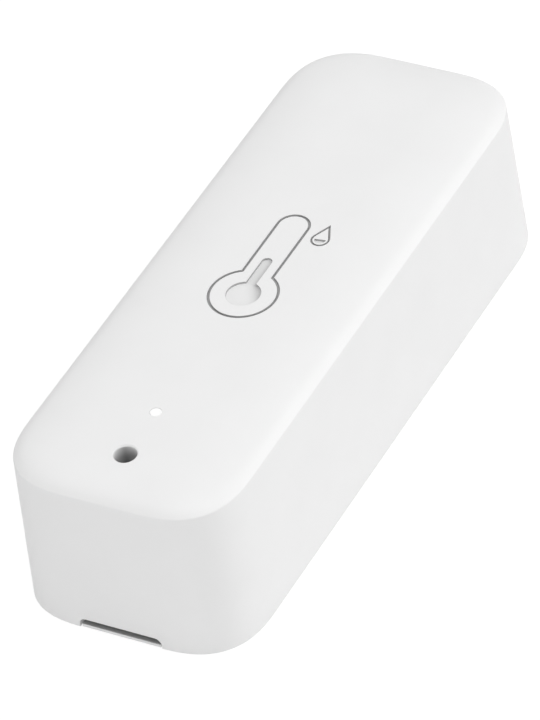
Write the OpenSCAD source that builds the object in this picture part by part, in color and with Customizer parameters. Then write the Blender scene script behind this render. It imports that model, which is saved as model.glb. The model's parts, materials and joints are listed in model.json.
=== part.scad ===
/* [Cells] */
// Diameter of a cell
cell_d = 10.3; // [9:0.1:14.5]
// Length of a cell with its positive button
cell_l = 44.5; // [38:0.5:60]
// Diameter of the positive button
button_d = 3.8; // [3.2:0.1:4.6]
// Height of the positive button
button_h = 1; // [0.7:0.1:1.3]
// Gap between the two cells
cell_gap = 0.3; // [0.2:0.05:0.6]

/* [Room inside] */
// Room between a cell and the side wall, at the rim
side_room = 0.55; // [0.45:0.05:1.5]
// Room between the cells and the back cover
under_room = 0.6; // [0.4:0.05:1.5]
// Room between a cell's shoulder and the rounded rear corner, at the rim
corner_room = 1.28; // [1.1:0.02:3]
// Length of the bay in front of the battery tray
front_bay = 15.4; // [13:0.1:24]

/* [Housing] */
// Thickness of the side and end walls
wall = 1.5; // [1.2:0.05:2]
// Thickness of the top wall
top_wall = 1.65; // [1.2:0.05:2.2]
// Lean of the side walls, in degrees
draft_side = 1.35; // [0.8:0.05:1.7]
// Lean of the end walls, in degrees
draft_end = 1.6; // [0.8:0.05:2.2]
// Size of the rounded corners seen from above
corner_r = 8.5; // [7:0.1:10]
// How square the corners are, where 2 is a plain arc
corner_power = 2.65; // [2.4:0.05:3]
// Rise of the crown over the edge of the walls
crown_rise = 1.5; // [0.8:0.1:1.8]
// Radius that is left at the corners where the crown turns flat
crown_corner_r = 0.2; // [0.1:0.1:2]
// How late the crown turns flat, where 2 is a parabola
crown_power = 2.8; // [2:0.1:3.2]
// Fillet where the walls meet the crown
edge_r = 0.3; // [0.2:0.05:0.5]

/* [Reset hole and light] */
// Bore of the reset hole
hole_d = 2.4; // [2:0.1:3]
// Distance of the reset hole from the front of the rim
hole_inset = 6.3; // [5.6:0.1:7.5]
// Chamfer round the mouth of the reset hole
hole_chamfer = 0.06; // [0.04:0.02:0.3]
// Diameter of the light window
light_d = 1.17; // [0.9:0.01:1.6]
// Distance of the light window from the front of the rim
light_inset = 12.5; // [11.5:0.1:13.5]
// Diameter of the light pipe's flange
light_flange_d = 2.6; // [2.2:0.1:3.2]
// Thickness of the light pipe's flange
light_flange_t = 0.5; // [0.3:0.05:0.8]

/* [Pictogram] */
// Width of the engraved lines
line_w = 0.27; // [0.2:0.01:0.4]
// Depth of the engraved lines
line_depth = 0.25; // [0.16:0.01:0.5]
// Radius of the thermometer's bulb, to the middle of its line
bulb_r = 3.45; // [3:0.05:4]
// Distance of the bulb's centre in front of the middle
bulb_y = 4.52; // [4:0.1:6]
// Half width of the thermometer's tube, to the middle of its line
tube_r = 1.65; // [1.2:0.05:2.2]
// Distance of the tube's round end behind the middle
tube_y = 6.15; // [4:0.1:8]
// Radius of the sunk bulb
fluid_r = 1.75; // [1.2:0.05:2.2]
// Half width of the sunk column
column_r = 0.55; // [0.4:0.05:0.7]
// Height of the sunk column's round end over the middle
column_y = 0.5; // [0:0.1:2]
// Depth of the sunk bulb and column
fluid_depth = 0.22; // [0.16:0.02:0.6]
// Radius of the drop, to the middle of its line
drop_r = 0.88; // [0.7:0.01:1.1]
// Height of the drop's tip over its round centre
drop_tip = 2.05; // [1.8:0.05:2.6]
// Distance of the drop to the side of the thermometer's axis
drop_x = 3.55; // [3.3:0.05:5]
// Distance of the drop's round centre behind the middle
drop_y = 5.18; // [3:0.1:7]
// Width of the drop's line
drop_line_w = 0.2; // [0.15:0.01:0.3]
// Radius of the drop's sunk water
water_r = 0.58; // [0.4:0.01:0.7]

/* [Pry slot] */
// Width of the slot in the front wall
slot_w = 9; // [7:0.1:12]
// Height of the slot over the shelf
slot_h = 1.1; // [0.9:0.05:1.3]
// Corner radius of the slot
slot_r = 0.72; // [0.4:0.02:0.8]
// Thickness of the cover's tab in the slot
tab_t = 0.42; // [0.3:0.02:0.6]
// Gap at each end of the tab
tab_gap = 0.18; // [0.1:0.02:0.3]
// How far the tab sits back from the front wall
tab_recess = 0.1; // [0.05:0.05:0.4]
// Depth of the air channel behind the slot
channel_depth = 1.9; // [1:0.1:3]

/* [Back cover] */
// Thickness of the cover
cover_t = 1.4; // [1.2:0.05:1.5]
// Chamfer round the cover's lower edge
cover_chamfer = 0.15; // [0.05:0.05:0.3]
// Gap round the cover
cover_gap = 0.12; // [0.08:0.02:0.2]
// Thickness of the cover's locating skirt
skirt_t = 0.9; // [0.6:0.05:1]
// Height of the locating skirt over the cover
skirt_h = 1.1; // [0.8:0.1:1.4]
// Width of each snap arm
arm_w = 5; // [3:0.2:7]
// Thickness of each snap arm
arm_t = 0.65; // [0.5:0.05:0.7]
// Space on each side of a snap arm
arm_side_gap = 0.5; // [0.3:0.1:1]
// Reach of the housing's snap ledges from the wall
catch_d = 0.4; // [0.3:0.02:0.45]
// Height of the snap ledges
catch_h = 0.8; // [0.6:0.05:1]
// Height of the hooked head of a snap arm
barb_h = 1.3; // [1:0.1:1.5]
// Width of the cover's cell rests
rest_w = 1.2; // [0.8:0.1:2]

/* [Contacts] */
// Thickness of the contact plates
plate_t = 0.3; // [0.2:0.05:0.4]
// Distance of a plate's edges in from the side of its cell
plate_inset = 1.6; // [1.4:0.1:2.2]
// Corner radius of the contact plates
plate_r = 0.8; // [0.3:0.1:1.2]
// Width of the solder tabs
tab_w = 2; // [1.4:0.1:2.6]
// Length of a contact spring as it sits
spring_l = 2.7; // [2.5:0.1:3.2]
// Wire of the contact springs
wire_d = 0.45; // [0.35:0.05:0.5]
// Radius of a spring's base turn, to the middle of the wire
spring_base_r = 3; // [2.7:0.1:3.3]
// Radius of a spring's end turn, to the middle of the wire
spring_tip_r = 1.8; // [1.5:0.1:2]

/* [Battery tray] */
// Thickness of the tray over the cells
deck_t = 0.85; // [0.7:0.05:1]
// Thickness of the tray at its screws
ear_t = 1.1; // [0.9:0.05:1.3]
// Thickness of the tray's end walls behind the contacts
end_t = 1; // [0.8:0.05:1.2]
// Lip of the tray's end walls round the contacts
end_lip = 0.4; // [0.3:0.05:0.6]
// Room round each cell
cell_room = 0.15; // [0.1:0.01:0.2]
// Length of the tray's two front ears
ear_l = 5.4; // [5:0.1:6]

/* [Circuit board] */
// Thickness of the circuit board
board_t = 1; // [0.8:0.1:1.2]
// Room between the board and the walls
board_gap = 0.25; // [0.2:0.05:0.4]
// Space between the board and the top wall
board_space = 2.55; // [2.4:0.05:2.7]
// Diameter of the board's locating pegs
peg_d = 1.6; // [1.2:0.1:1.8]
// Diameter of the screw bosses
boss_d = 4; // [3.6:0.1:4.2]

/* [Screws] */
// Diameter of a screw's thread
screw_d = 1.9; // [1.6:0.1:2]
// Room over the tip of a screw
screw_tip_room = 0.65; // [0.4:0.05:1]
// Diameter of a screw's head
head_d = 3.5; // [3:0.1:3.6]
// Height of a screw's head
head_h = 1.05; // [0.8:0.05:1.1]

/* [Reset button] */
// Side of the square switch
switch_w = 4.5; // [4:0.1:5]
// Height of the switch
switch_h = 1.55; // [1.4:0.05:1.6]
// Diameter of the switch's plunger
plunger_d = 2.1; // [1.8:0.1:2.3]
// Height of the plunger over the switch
plunger_h = 0.5; // [0.4:0.05:0.6]
// Travel of the plunger
plunger_travel = 0.25; // [0.15:0.05:0.3]
// Thickness of the switch's steel cover
switch_cover_t = 0.2; // [0.15:0.05:0.3]

/* [Radio module] */
// Room on each side of the radio module, to the tray's ears
module_side_room = 0.56; // [0.3:0.02:1.2]
// Room at each end of the radio module, to the tray and the front wall
module_end_room = 1.2; // [0.8:0.1:1.6]
// Thickness of the radio module's board
module_t = 0.8; // [0.6:0.1:1]
// Height of the shield can
can_h = 2; // [1.5:0.1:2.5]
// Wall of the shield can
can_t = 0.2; // [0.15:0.05:0.3]
// Corner radius of the shield can
can_r = 0.6; // [0.4:0.05:1]

/* [Small electronics] */
// Side of the temperature and humidity chip
sensor_w = 2.5; // [2:0.1:2.8]
// Height of the temperature and humidity chip
sensor_h = 0.9; // [0.7:0.1:1.1]
// Length of the light's chip
led_l = 1.6; // [1.2:0.1:2]
// Height of the light's chip
led_h = 0.65; // [0.5:0.05:0.8]
// Length of a chip resistor or capacitor
passive_l = 1.6; // [1:0.1:2]
// Height of a chip resistor or capacitor
passive_h = 0.6; // [0.4:0.05:0.8]

/* [Hidden] */
$fn = 48;

// One overrun for every cut, and one small bite for every rib that grows out of a wall
over = 1;
bite = 0.3;
// Gap between pieces that touch in use, and play round a shaft
touch = 0.02;
play = 0.05;
// Radial play of the plunger in its switch
plunger_play = 0.07;
// Slip that lets a piece pass another without rubbing
slip = 0.1;

corner_steps = 10;
crown_rings = 8;
fillet_rings = 3;

// Heights, stacked from the shelf to the crown
cell_r = cell_d / 2;
cell_z = cover_t + under_room + cell_r;
board_bottom = cell_z + cell_r + cell_room + deck_t;
board_top = board_bottom + board_t;
ceiling_z = board_top + board_space;
body_h = ceiling_z + top_wall;
crease_z = body_h - crown_rise;
ear_bottom = board_bottom - ear_t;
rest_top = cell_z - cell_r - slip;

// Width over the rim: two cells side by side between the walls
cell_x = cell_r + cell_gap / 2;
body_w = 2 * (cell_x + cell_r + side_room + wall);

// Length over the rim: the cells stop short of the rounded rear corners
function corner_setback(r, room) =
  r * (1 - pow(1 - pow((r - room) / r, corner_power), 1 / corner_power));
rear_room = corner_setback(corner_r - wall, side_room) + corner_room - button_h;
body_l = 2 * wall + rear_room + cell_l + spring_l + plate_t + end_t + front_bay;
crown_run = corner_r - crown_corner_r;

// Half sizes of the outside, and of the space inside, at a height
function half_w(z) = body_w / 2 - z * tan(draft_side);
function half_l(z) = body_l / 2 - z * tan(draft_end);
function room_w(z) = half_w(z) - wall;
function room_l(z) = half_l(z) - wall;

// Height of the crown at a distance in from the edge of the walls
function crown_z(inset) = inset >= crown_run ? body_h
  : crease_z + crown_rise * (1 - pow(1 - inset / crown_run, crown_power));

// Round rectangle whose corners follow a superellipse, counterclockwise
function corner_point(a, r) = [r * pow(cos(a), 2 / corner_power), r * pow(sin(a), 2 / corner_power)];
function outline(hw, hl, r) = [
  for (quarter = [0:3], step = [0:corner_steps])
    let (right = quarter == 0 || quarter == 3 ? 1 : -1,
      back = quarter < 2 ? 1 : -1,
      turn = quarter % 2 == 0 ? step : corner_steps - step,
      p = corner_point(90 * turn / corner_steps, r))
    [right * (hw - r + p.x), back * (hl - r + p.y)]];
function ring(hw, hl, r, z) = [for (p = outline(hw, hl, r)) [p.x, p.y, z]];
function inset_ring(inset, z) =
  ring(half_w(crease_z) - inset, half_l(crease_z) - inset, corner_r - inset, z);

// Skin through a stack of rings with the same number of points
module loft(rings) {
  n = len(rings[0]);
  last = (len(rings) - 1) * n;
  sides = [for (k = [0:len(rings) - 2], i = [0:n - 1])
    let (j = (i + 1) % n, low = k * n, high = low + n)
    each [[low + i, high + i, high + j], [low + i, high + j, low + j]]];
  polyhedron([for (r = rings) each r],
    concat([[for (i = [0:n - 1]) i]], sides, [[for (i = [0:n - 1]) last + n - 1 - i]]));
}

// Fillet between the leaning wall and the crown's edge
edge_slope = atan(crown_power * crown_rise / crown_run);
wall_normal = 90 - draft_side;
fillet_shift = edge_r / (1 + cos(wall_normal - edge_slope));
fillet_x = fillet_shift * (sin(wall_normal) + sin(edge_slope));
fillet_z = fillet_shift * (cos(wall_normal) + cos(edge_slope));
function fillet_angle(k) = wall_normal + (edge_slope - wall_normal) * k / fillet_rings;
function fillet_ring(k) = inset_ring(fillet_x - edge_r * sin(fillet_angle(k)),
  crease_z - fillet_z + edge_r * cos(fillet_angle(k)));
crown_start = fillet_x - edge_r * sin(edge_slope);
function crown_inset(k) = crown_start + (crown_run - crown_start) * pow(k / crown_rings, 1.4);

module outer_skin() {
  loft(concat(
    [ring(half_w(0), half_l(0), corner_r, 0)],
    [for (k = [0:fillet_rings]) fillet_ring(k)],
    [for (k = [1:crown_rings]) inset_ring(crown_inset(k), crown_z(crown_inset(k)))]));
}

// The space inside follows the walls and the crown at a steady thickness
function inner_inset(k) = wall + (crown_run - wall) * pow(k / crown_rings, 1.4);
module inner_space() {
  loft(concat(
    [ring(room_w(-over), room_l(-over), corner_r - wall, -over)],
    [for (k = [0:crown_rings]) inset_ring(inner_inset(k), crown_z(inner_inset(k)) - top_wall)]));
}

// Places along the housing, front towards -Y
hole_y = hole_inset - body_l / 2;
light_y = light_inset - body_l / 2;
bay_rear = body_l / 2 - wall - rear_room;
bay_front = bay_rear - cell_l - spring_l;
tray_rear = bay_rear + plate_t + end_t;
tray_front = bay_front - plate_t - end_t;
boss_x = room_w(board_top) - slip - boss_d / 2;
front_boss_y = tray_front - ear_l / 2;
rear_boss_y = bay_rear - cell_l * 0.16;
bosses = [[0, rear_boss_y], [boss_x, front_boss_y], [-boss_x, front_boss_y]];
peg_x = room_w(board_top) - board_gap - peg_d;
pegs = [[peg_x, bay_front + cell_l * 0.35], [-peg_x, bay_front + cell_l * 0.75]];
arm_places = [tray_front - front_bay * 0.37, bay_rear - cell_l * 0.4];

module at_bosses() {
  for (p = bosses) translate([p.x, p.y]) children();
}
module at_pegs() {
  for (p = pegs) translate([p.x, p.y]) children();
}
// Runs its children at each snap arm, with +X towards the nearer wall
module at_arms() {
  for (side = [0, 1], y = arm_places)
    mirror([side, 0, 0]) translate([0, y + arm_w / 2, 0]) rotate([90, 0, 0]) children();
}

// Snap ledges of the housing and hooked heads of the cover's arms
catch_low = cover_t + slip;
catch_top = catch_low + catch_h;
catch_x = room_w(catch_top) - catch_d;
arm_x = catch_x - slip;
barb_low = catch_top + touch;
barb_x = room_w(barb_low + barb_h) - slip;

module snap_ledges() {
  at_arms() linear_extrude(arm_w) polygon([
    [room_w(catch_low) + bite, catch_low - touch],
    [room_w(catch_low) - touch, catch_low],
    [catch_x, catch_low + catch_d],
    [catch_x, catch_top],
    [room_w(catch_top) + bite, catch_top]]);
}

// Outline of the thermometer, grown by a distance
module thermometer(grow) {
  translate([0, -bulb_y]) circle(bulb_r + grow);
  translate([0, tube_y]) circle(tube_r + grow);
  translate([-tube_r - grow, -bulb_y]) square([2 * (tube_r + grow), tube_y + bulb_y]);
}
// A circle with two tangents to its tip, grown by a distance
module drop(grow) {
  r = drop_r + grow;
  tip = drop_tip + grow * drop_tip / drop_r;
  a = asin(r / tip);
  circle(r);
  polygon([[0, tip], [-r * cos(a), r * sin(a)], [r * cos(a), r * sin(a)]]);
}
module fluid() {
  translate([0, -bulb_y]) circle(fluid_r);
  translate([0, column_y]) circle(column_r);
  translate([-column_r, -bulb_y]) square([2 * column_r, column_y + bulb_y]);
}
module sunk(depth) {
  translate([0, 0, body_h - depth]) linear_extrude(depth + over) children();
}
module pictogram() {
  sunk(line_depth) difference() {
    thermometer(line_w / 2);
    thermometer(-line_w / 2);
  }
  sunk(fluid_depth) fluid();
  sunk(line_depth) translate([drop_x, drop_y]) difference() {
    drop(drop_line_w / 2);
    drop(-drop_line_w / 2);
  }
  sunk(fluid_depth) translate([drop_x, drop_y]) intersection() {
    circle(water_r);
    translate([-water_r, -2 * water_r]) square([2 * water_r, 2 * water_r]);
  }
}

module reset_hole() {
  edge_z = crown_z(half_l(crease_z) + hole_y);
  translate([0, hole_y, ceiling_z - over]) cylinder(d = hole_d, h = top_wall + 2 * over);
  translate([0, hole_y, edge_z - hole_chamfer])
    cylinder(d1 = hole_d, d2 = hole_d + 4 * hole_chamfer, h = 2 * hole_chamfer);
}

module pry_slot() {
  translate([0, over - room_l(slot_h), 0]) rotate([90, 0, 0])
    linear_extrude(wall + 2 * over) {
      for (x = [-1, 1]) translate([x * (slot_w / 2 - slot_r), slot_h - slot_r]) circle(slot_r);
      translate([slot_r - slot_w / 2, -over]) square([slot_w - 2 * slot_r, slot_h + over]);
      translate([-slot_w / 2, -over]) square([slot_w, slot_h - slot_r + over]);
    }
}

module top_housing() {
  color("white") difference() {
    union() {
      difference() {
        outer_skin();
        inner_space();
      }
      at_bosses() translate([0, 0, board_top]) cylinder(d = boss_d, h = board_space + bite);
      at_pegs() translate([0, 0, board_bottom + touch])
        cylinder(d = peg_d, h = board_t + board_space + bite);
      snap_ledges();
    }
    reset_hole();
    translate([0, light_y, ceiling_z - over]) cylinder(d = light_d + play, h = top_wall + 2 * over);
    at_bosses() translate([0, 0, board_top - over]) cylinder(d = screw_d + play, h = board_space + over);
    pictogram();
    pry_slot();
  }
}

// The light pipe ends flush with the crown and spreads to a flange under the top wall
led_top = board_top + led_h;
module light_pipe() {
  top_z = crown_z(half_l(crease_z) + light_y);
  color("whitesmoke") translate([0, light_y, 0]) {
    translate([0, 0, led_top + slip]) cylinder(d = light_d, h = top_z - led_top - slip);
    translate([0, 0, ceiling_z - touch - light_flange_t]) cylinder(d = light_flange_d, h = light_flange_t);
  }
}

// Slots that let the solder tabs through, and the cuts that keep the sensor cool
tab_slot_w = tab_w + 4 * slip;
module_w = 2 * (boss_x - boss_d / 2 - module_side_room);
module_l = front_bay - 2 * module_end_room;
sensor_x = module_w / 2 + 2 * slip + sensor_w;
sensor_y = hole_y;
cool_w = 0.6;
module circuit_board() {
  z = board_top;
  color("green") difference() {
    translate([0, 0, board_bottom]) linear_extrude(board_t)
      polygon(outline(room_w(z) - board_gap, room_l(z) - board_gap, corner_r - wall - board_gap));
    at_bosses() translate([0, 0, board_bottom - over]) cylinder(d = screw_d + 2 * slip, h = board_t + 2 * over);
    at_pegs() translate([0, 0, board_bottom - over]) cylinder(d = peg_d + 2 * slip, h = board_t + 2 * over);
    for (x = [-cell_x, cell_x])
      translate([x - tab_slot_w / 2, bay_front - plate_t - 2 * slip, board_bottom - over])
        cube([tab_slot_w, plate_t + 4 * slip, board_t + 2 * over]);
    translate([module_w / 2 + 2 * slip, sensor_y - sensor_w, board_bottom - over])
      cube([cool_w, 2 * sensor_w, board_t + 2 * over]);
    translate([module_w / 2 + 2 * slip, sensor_y + sensor_w, board_bottom - over])
      cube([sensor_w * 1.2, cool_w, board_t + 2 * over]);
  }
}

module status_led() {
  color("lightyellow") translate([-led_l / 2, light_y - led_l / 4, board_top]) cube([led_l, led_l / 2, led_h]);
}

// The switch is a moulded body under a steel cover, with its plunger in a bore through both
switch_floor = 0.3;
switch_top = board_top + switch_h;
plunger_low = board_top + switch_floor + plunger_travel + slip;
flange_d = plunger_d + 4 * slip;
flange_t = switch_h - switch_cover_t - switch_floor - plunger_travel - 2 * slip;
module switch_bore(d) {
  translate([0, 0, -over]) cylinder(d = d, h = switch_h + 2 * over);
}
module switch_body() {
  h = switch_h - switch_cover_t;
  color("dimgray") translate([0, hole_y, board_top]) difference() {
    translate([-switch_w / 2, -switch_w / 2]) cube([switch_w, switch_w, h]);
    translate([0, 0, switch_floor]) cylinder(d = flange_d + 2 * plunger_play, h = switch_h);
  }
}
module switch_cover() {
  color("silver") translate([0, hole_y, switch_top - switch_cover_t]) difference() {
    translate([-switch_w / 2, -switch_w / 2]) cube([switch_w, switch_w, switch_cover_t]);
    switch_bore(plunger_d + 2 * plunger_play);
  }
}
module switch_plunger() {
  color("black") translate([0, hole_y, plunger_low]) {
    cylinder(d = flange_d, h = flange_t);
    cylinder(d = plunger_d, h = switch_top + plunger_h - plunger_low);
  }
}

// The radio module hangs under the front of the board
module_front = tray_front - module_end_room - module_l;
can_l = module_l * 0.64;
can_w = module_w * 0.88;
can_y = module_front + module_l - can_l - (module_w - can_w) / 2;
antenna_t = 0.1;
module radio_board() {
  color("darkgreen") translate([-module_w / 2, module_front, board_bottom - module_t])
    cube([module_w, module_l, module_t]);
}
module radio_can() {
  hw = can_w / 2;
  hl = can_l / 2;
  color("silver") translate([0, can_y + hl, board_bottom - module_t - can_h]) difference() {
    linear_extrude(can_h) polygon(outline(hw, hl, can_r));
    translate([0, 0, can_t]) linear_extrude(can_h) polygon(outline(hw - can_t, hl - can_t, can_r - can_t));
  }
}
// A meander of equal bars joined at alternate ends
meander_bars = 6;
module radio_antenna() {
  pitch = can_w / meander_bars;
  bar_w = pitch * 0.4;
  bar_l = (can_y - module_front) * 0.7;
  low_y = module_front + (can_y - module_front - bar_l) / 2;
  color("darkgoldenrod") translate([-can_w / 2, low_y, board_bottom - module_t - antenna_t])
    for (k = [0:meander_bars - 1]) {
      translate([k * pitch, 0, 0]) cube([bar_w, bar_l, antenna_t]);
      if (k < meander_bars - 1)
        translate([k * pitch, k % 2 == 0 ? bar_l - bar_w : 0, 0]) cube([pitch + bar_w, bar_w, antenna_t]);
    }
}

module sensor_chip() {
  color("black") translate([sensor_x, sensor_y, board_bottom - sensor_h]) difference() {
    translate([-sensor_w / 2, -sensor_w / 2]) cube([sensor_w, sensor_w, sensor_h]);
    translate([0, 0, -over]) cylinder(d = sensor_w * 0.4, h = sensor_h / 2 + over);
  }
}

// Small parts on the top of the board, placed as shares of a cell's length
part_y = bay_front + cell_l * 0.5;
module voltage_regulator() {
  l = passive_l * 1.8;
  w = passive_l * 0.8;
  color("black") translate([0, part_y, board_top]) {
    translate([-l / 2, -w / 2, slip]) cube([l, w, passive_h * 1.6]);
    for (x = [-1, 0, 1])
      translate([x * l / 3 - passive_h / 4, x == 0 ? 0 : -w, 0]) cube([passive_h / 2, w, passive_h / 3]);
  }
}
module bulk_capacitor() {
  color("gold") translate([-passive_l * 3, part_y, board_top])
    translate([-passive_l, -passive_l * 0.8]) cube([passive_l * 2, passive_l * 1.6, passive_h * 3]);
}
module crystal() {
  color("silver") translate([passive_l * 3, part_y, board_top])
    translate([-passive_l, -passive_l * 0.6]) cube([passive_l * 2, passive_l * 1.2, passive_h]);
}
module chip_passives() {
  color("tan") for (row = [0, 1], k = [0:3])
    translate([(k - 1.5) * passive_l * 2 - passive_l / 2, part_y + (row + 1) * passive_l * 3, board_top])
      cube([passive_l, passive_l / 2, passive_h]);
}

// The tray saddles the two cells, carries their contacts and is screwed to the bosses
screw_l = ear_t + board_t + board_space - screw_tip_room;
tray_low = cell_z + cell_r * 0.6;
plate_w = cell_d - 2 * plate_inset;
plate_low = cell_z - plate_w / 2;
end_low = plate_low - end_lip;
bridge_w = 2 * cell_x + plate_w;
module tray_block() {
  z = board_bottom;
  end_half_w = (bridge_w + 2 * end_lip) / 2;
  intersection() {
    translate([0, 0, end_low]) linear_extrude(board_bottom - end_low)
      polygon(outline(room_w(z) - board_gap, room_l(z) - board_gap, corner_r - wall - board_gap));
    union() {
      translate([-body_w / 2, tray_front, tray_low])
        cube([body_w, tray_rear - tray_front, body_h]);
      for (y = [tray_front, bay_rear])
        translate([-end_half_w, y, 0]) cube([2 * end_half_w, plate_t + end_t, body_h]);
    }
  }
  for (side = [0, 1]) mirror([side, 0, 0])
    translate([boss_x - boss_d / 2, tray_front - ear_l, ear_bottom]) cube([boss_d, ear_l + end_t, ear_t]);
}
module cell_space(x) {
  translate([x, bay_rear, cell_z]) rotate([90, 0, 0]) cylinder(r = cell_r + cell_room, h = bay_rear - bay_front);
}
// Pocket for a contact plate and its solder tab
module plate_pocket(x, y, w) {
  translate([x - w / 2 - touch, y, plate_low - touch]) cube([w + 2 * touch, plate_t, plate_w + 2 * touch]);
}
module tab_channel(x) {
  translate([x - tab_w / 2 - slip, bay_front - plate_t, cell_z]) cube([tab_w + 2 * slip, plate_t, body_h]);
}
module battery_tray() {
  color("lightgray") difference() {
    tray_block();
    for (x = [-cell_x, cell_x]) {
      cell_space(x);
      plate_pocket(x, bay_front - plate_t, plate_w);
      tab_channel(x);
    }
    plate_pocket(0, bay_rear, bridge_w);
    at_bosses() translate([0, 0, -over]) cylinder(d = screw_d + 2 * slip, h = body_h);
    at_bosses() translate([0, 0, ear_bottom - body_h]) cylinder(d = head_d + 2 * slip, h = body_h);
  }
}

module tray_screws() {
  color("gray") at_bosses() difference() {
    union() {
      translate([0, 0, ear_bottom - head_h]) cylinder(d = head_d, h = head_h);
      translate([0, 0, ear_bottom - touch]) cylinder(d = screw_d, h = screw_l);
    }
    for (turn = [0, 90]) rotate(turn)
      translate([-head_d * 0.3, -head_d * 0.06, ear_bottom - head_h - over])
        cube([head_d * 0.6, head_d * 0.12, head_h / 2 + over]);
  }
}

// A cell on its axis, from its flat end to its button, with the seal sunk inside its crimped rim
cell_bevel = 0.4;
crimp_w = 0.5;
module cell() {
  can = cell_l - button_h;
  seal_r = cell_r - cell_bevel - crimp_w;
  rotate_extrude() polygon([[0, 0], [cell_r - cell_bevel, 0], [cell_r, cell_bevel],
    [cell_r, can - cell_bevel], [cell_r - cell_bevel, can], [seal_r, can], [seal_r, can - cell_bevel],
    [button_d / 2, can - cell_bevel], [button_d / 2, cell_l], [0, cell_l]]);
}
module cell_left() {
  color("slategray") translate([-cell_x, bay_rear - cell_l, cell_z]) rotate([-90, 0, 0]) cell();
}
module cell_right() {
  color("slategray") translate([cell_x, bay_front + cell_l, cell_z]) rotate([90, 0, 0]) cell();
}

// A pressed plate that stands across the cells, from its front face at a place along the housing
module plate(x, y, w) {
  translate([x, y + plate_t, cell_z]) rotate([90, 0, 0]) linear_extrude(plate_t)
    polygon(outline(w / 2, plate_w / 2, plate_r));
}
module contact(x) {
  plate(x, bay_front - plate_t, plate_w);
  translate([x - tab_w / 2, bay_front - plate_t, cell_z])
    cube([tab_w, plate_t, board_top + board_t / 2 - cell_z]);
}
module positive_contact() {
  color("silver") contact(cell_x);
}
module negative_contact() {
  color("silver") contact(-cell_x);
}
module bridge_contact() {
  color("silver") plate(0, bay_rear, bridge_w);
}

// A cone of wire: each ring of the tube stands across the wire
turns = 2.5;
turn_rings = 8;
wire_sides = 6;
coil_steps = turns * turn_rings;
coil_run = spring_l - wire_d - 2 * touch;
function coil_radius(k) = spring_base_r + (spring_tip_r - spring_base_r) * k / coil_steps;
function coil_point(k) = let (a = 360 * k / turn_rings)
  [coil_radius(k) * cos(a), coil_radius(k) * sin(a), touch + wire_d / 2 + coil_run * k / coil_steps];
function wire_ring(k) = let (a = 360 * k / turn_rings, p = coil_point(k))
  [for (s = [0:wire_sides - 1]) let (b = 360 * s / wire_sides, out = wire_d / 2 * cos(b))
    [p.x + out * cos(a), p.y + out * sin(a), p.z + wire_d / 2 * sin(b)]];
coil_gap = min([for (i = [0:coil_steps], j = [0:coil_steps]) if (j - i > turn_rings / 2)
  norm(coil_point(j) - coil_point(i))]) - wire_d;
echo(least_gap_of_the_spring_to_itself_mm = coil_gap);
module spring() {
  loft([for (k = [0:coil_steps]) wire_ring(coil_steps - k)]);
}
module negative_spring() {
  color("silver") translate([-cell_x, bay_front, cell_z]) rotate([-90, 0, 0]) spring();
}
module bridge_spring() {
  color("silver") translate([cell_x, bay_rear, cell_z]) rotate([90, 0, 0]) spring();
}

// Cover with its tab in the pry slot, an air channel behind it, a skirt and rests for the cells
function cover_ring(inset, z) = let (room = cover_gap + inset)
  ring(room_w(cover_t) - room, room_l(cover_t) - room, corner_r - wall - room, z);
module cover_plate() {
  loft([cover_ring(cover_chamfer, 0), cover_ring(0, cover_chamfer), cover_ring(0, cover_t)]);
}
module cover_skirt() {
  z = cover_t + skirt_h;
  r = corner_r - wall - cover_gap;
  translate([0, 0, cover_t - touch]) linear_extrude(skirt_h + touch) difference() {
    polygon(outline(room_w(z) - cover_gap, room_l(z) - cover_gap, r));
    polygon(outline(room_w(z) - cover_gap - skirt_t, room_l(z) - cover_gap - skirt_t, r - skirt_t));
  }
}
module cell_rests() {
  for (x = [-cell_x, cell_x], share = [0.2, 0.8])
    translate([x - cell_r / 2, bay_front + cell_l * share, cover_t - touch])
      cube([cell_r, rest_w, rest_top - cover_t + touch]);
}
module back_cover() {
  tab_half = slot_w / 2 - tab_gap;
  front = room_l(cover_t) - cover_gap;
  color("white") difference() {
    union() {
      cover_plate();
      cover_skirt();
      cell_rests();
      translate([-tab_half, tab_recess - body_l / 2, 0])
        cube([2 * tab_half, body_l / 2 - tab_recess - front + over, tab_t]);
    }
    translate([-tab_half, -front - over, tab_t]) cube([2 * tab_half, over + channel_depth, body_h]);
    at_arms() translate([arm_x - arm_t - arm_side_gap, cover_t, -arm_side_gap])
      cube([body_w, body_h, arm_w + 2 * arm_side_gap]);
  }
}
module snap_arms() {
  color("white") at_arms() linear_extrude(arm_w) polygon([
    [arm_x - arm_t, cover_t],
    [arm_x, cover_t],
    [arm_x, barb_low],
    [barb_x, barb_low],
    [barb_x, barb_low + barb_h / 4],
    [arm_x, barb_low + barb_h],
    [arm_x - arm_t, barb_low + barb_h]]);
}

top_housing();
light_pipe();
circuit_board();
status_led();
switch_body();
switch_cover();
switch_plunger();
radio_board();
radio_can();
radio_antenna();
sensor_chip();
voltage_regulator();
bulk_capacitor();
crystal();
chip_passives();
battery_tray();
tray_screws();
cell_left();
cell_right();
positive_contact();
negative_contact();
negative_spring();
bridge_contact();
bridge_spring();
back_cover();
snap_arms();
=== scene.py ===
import json
import bmesh
import bpy
from math import acos, asin, atan, copysign, cos, pi, radians, sin, tan
from mathutils import Matrix, Quaternion, Vector


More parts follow.
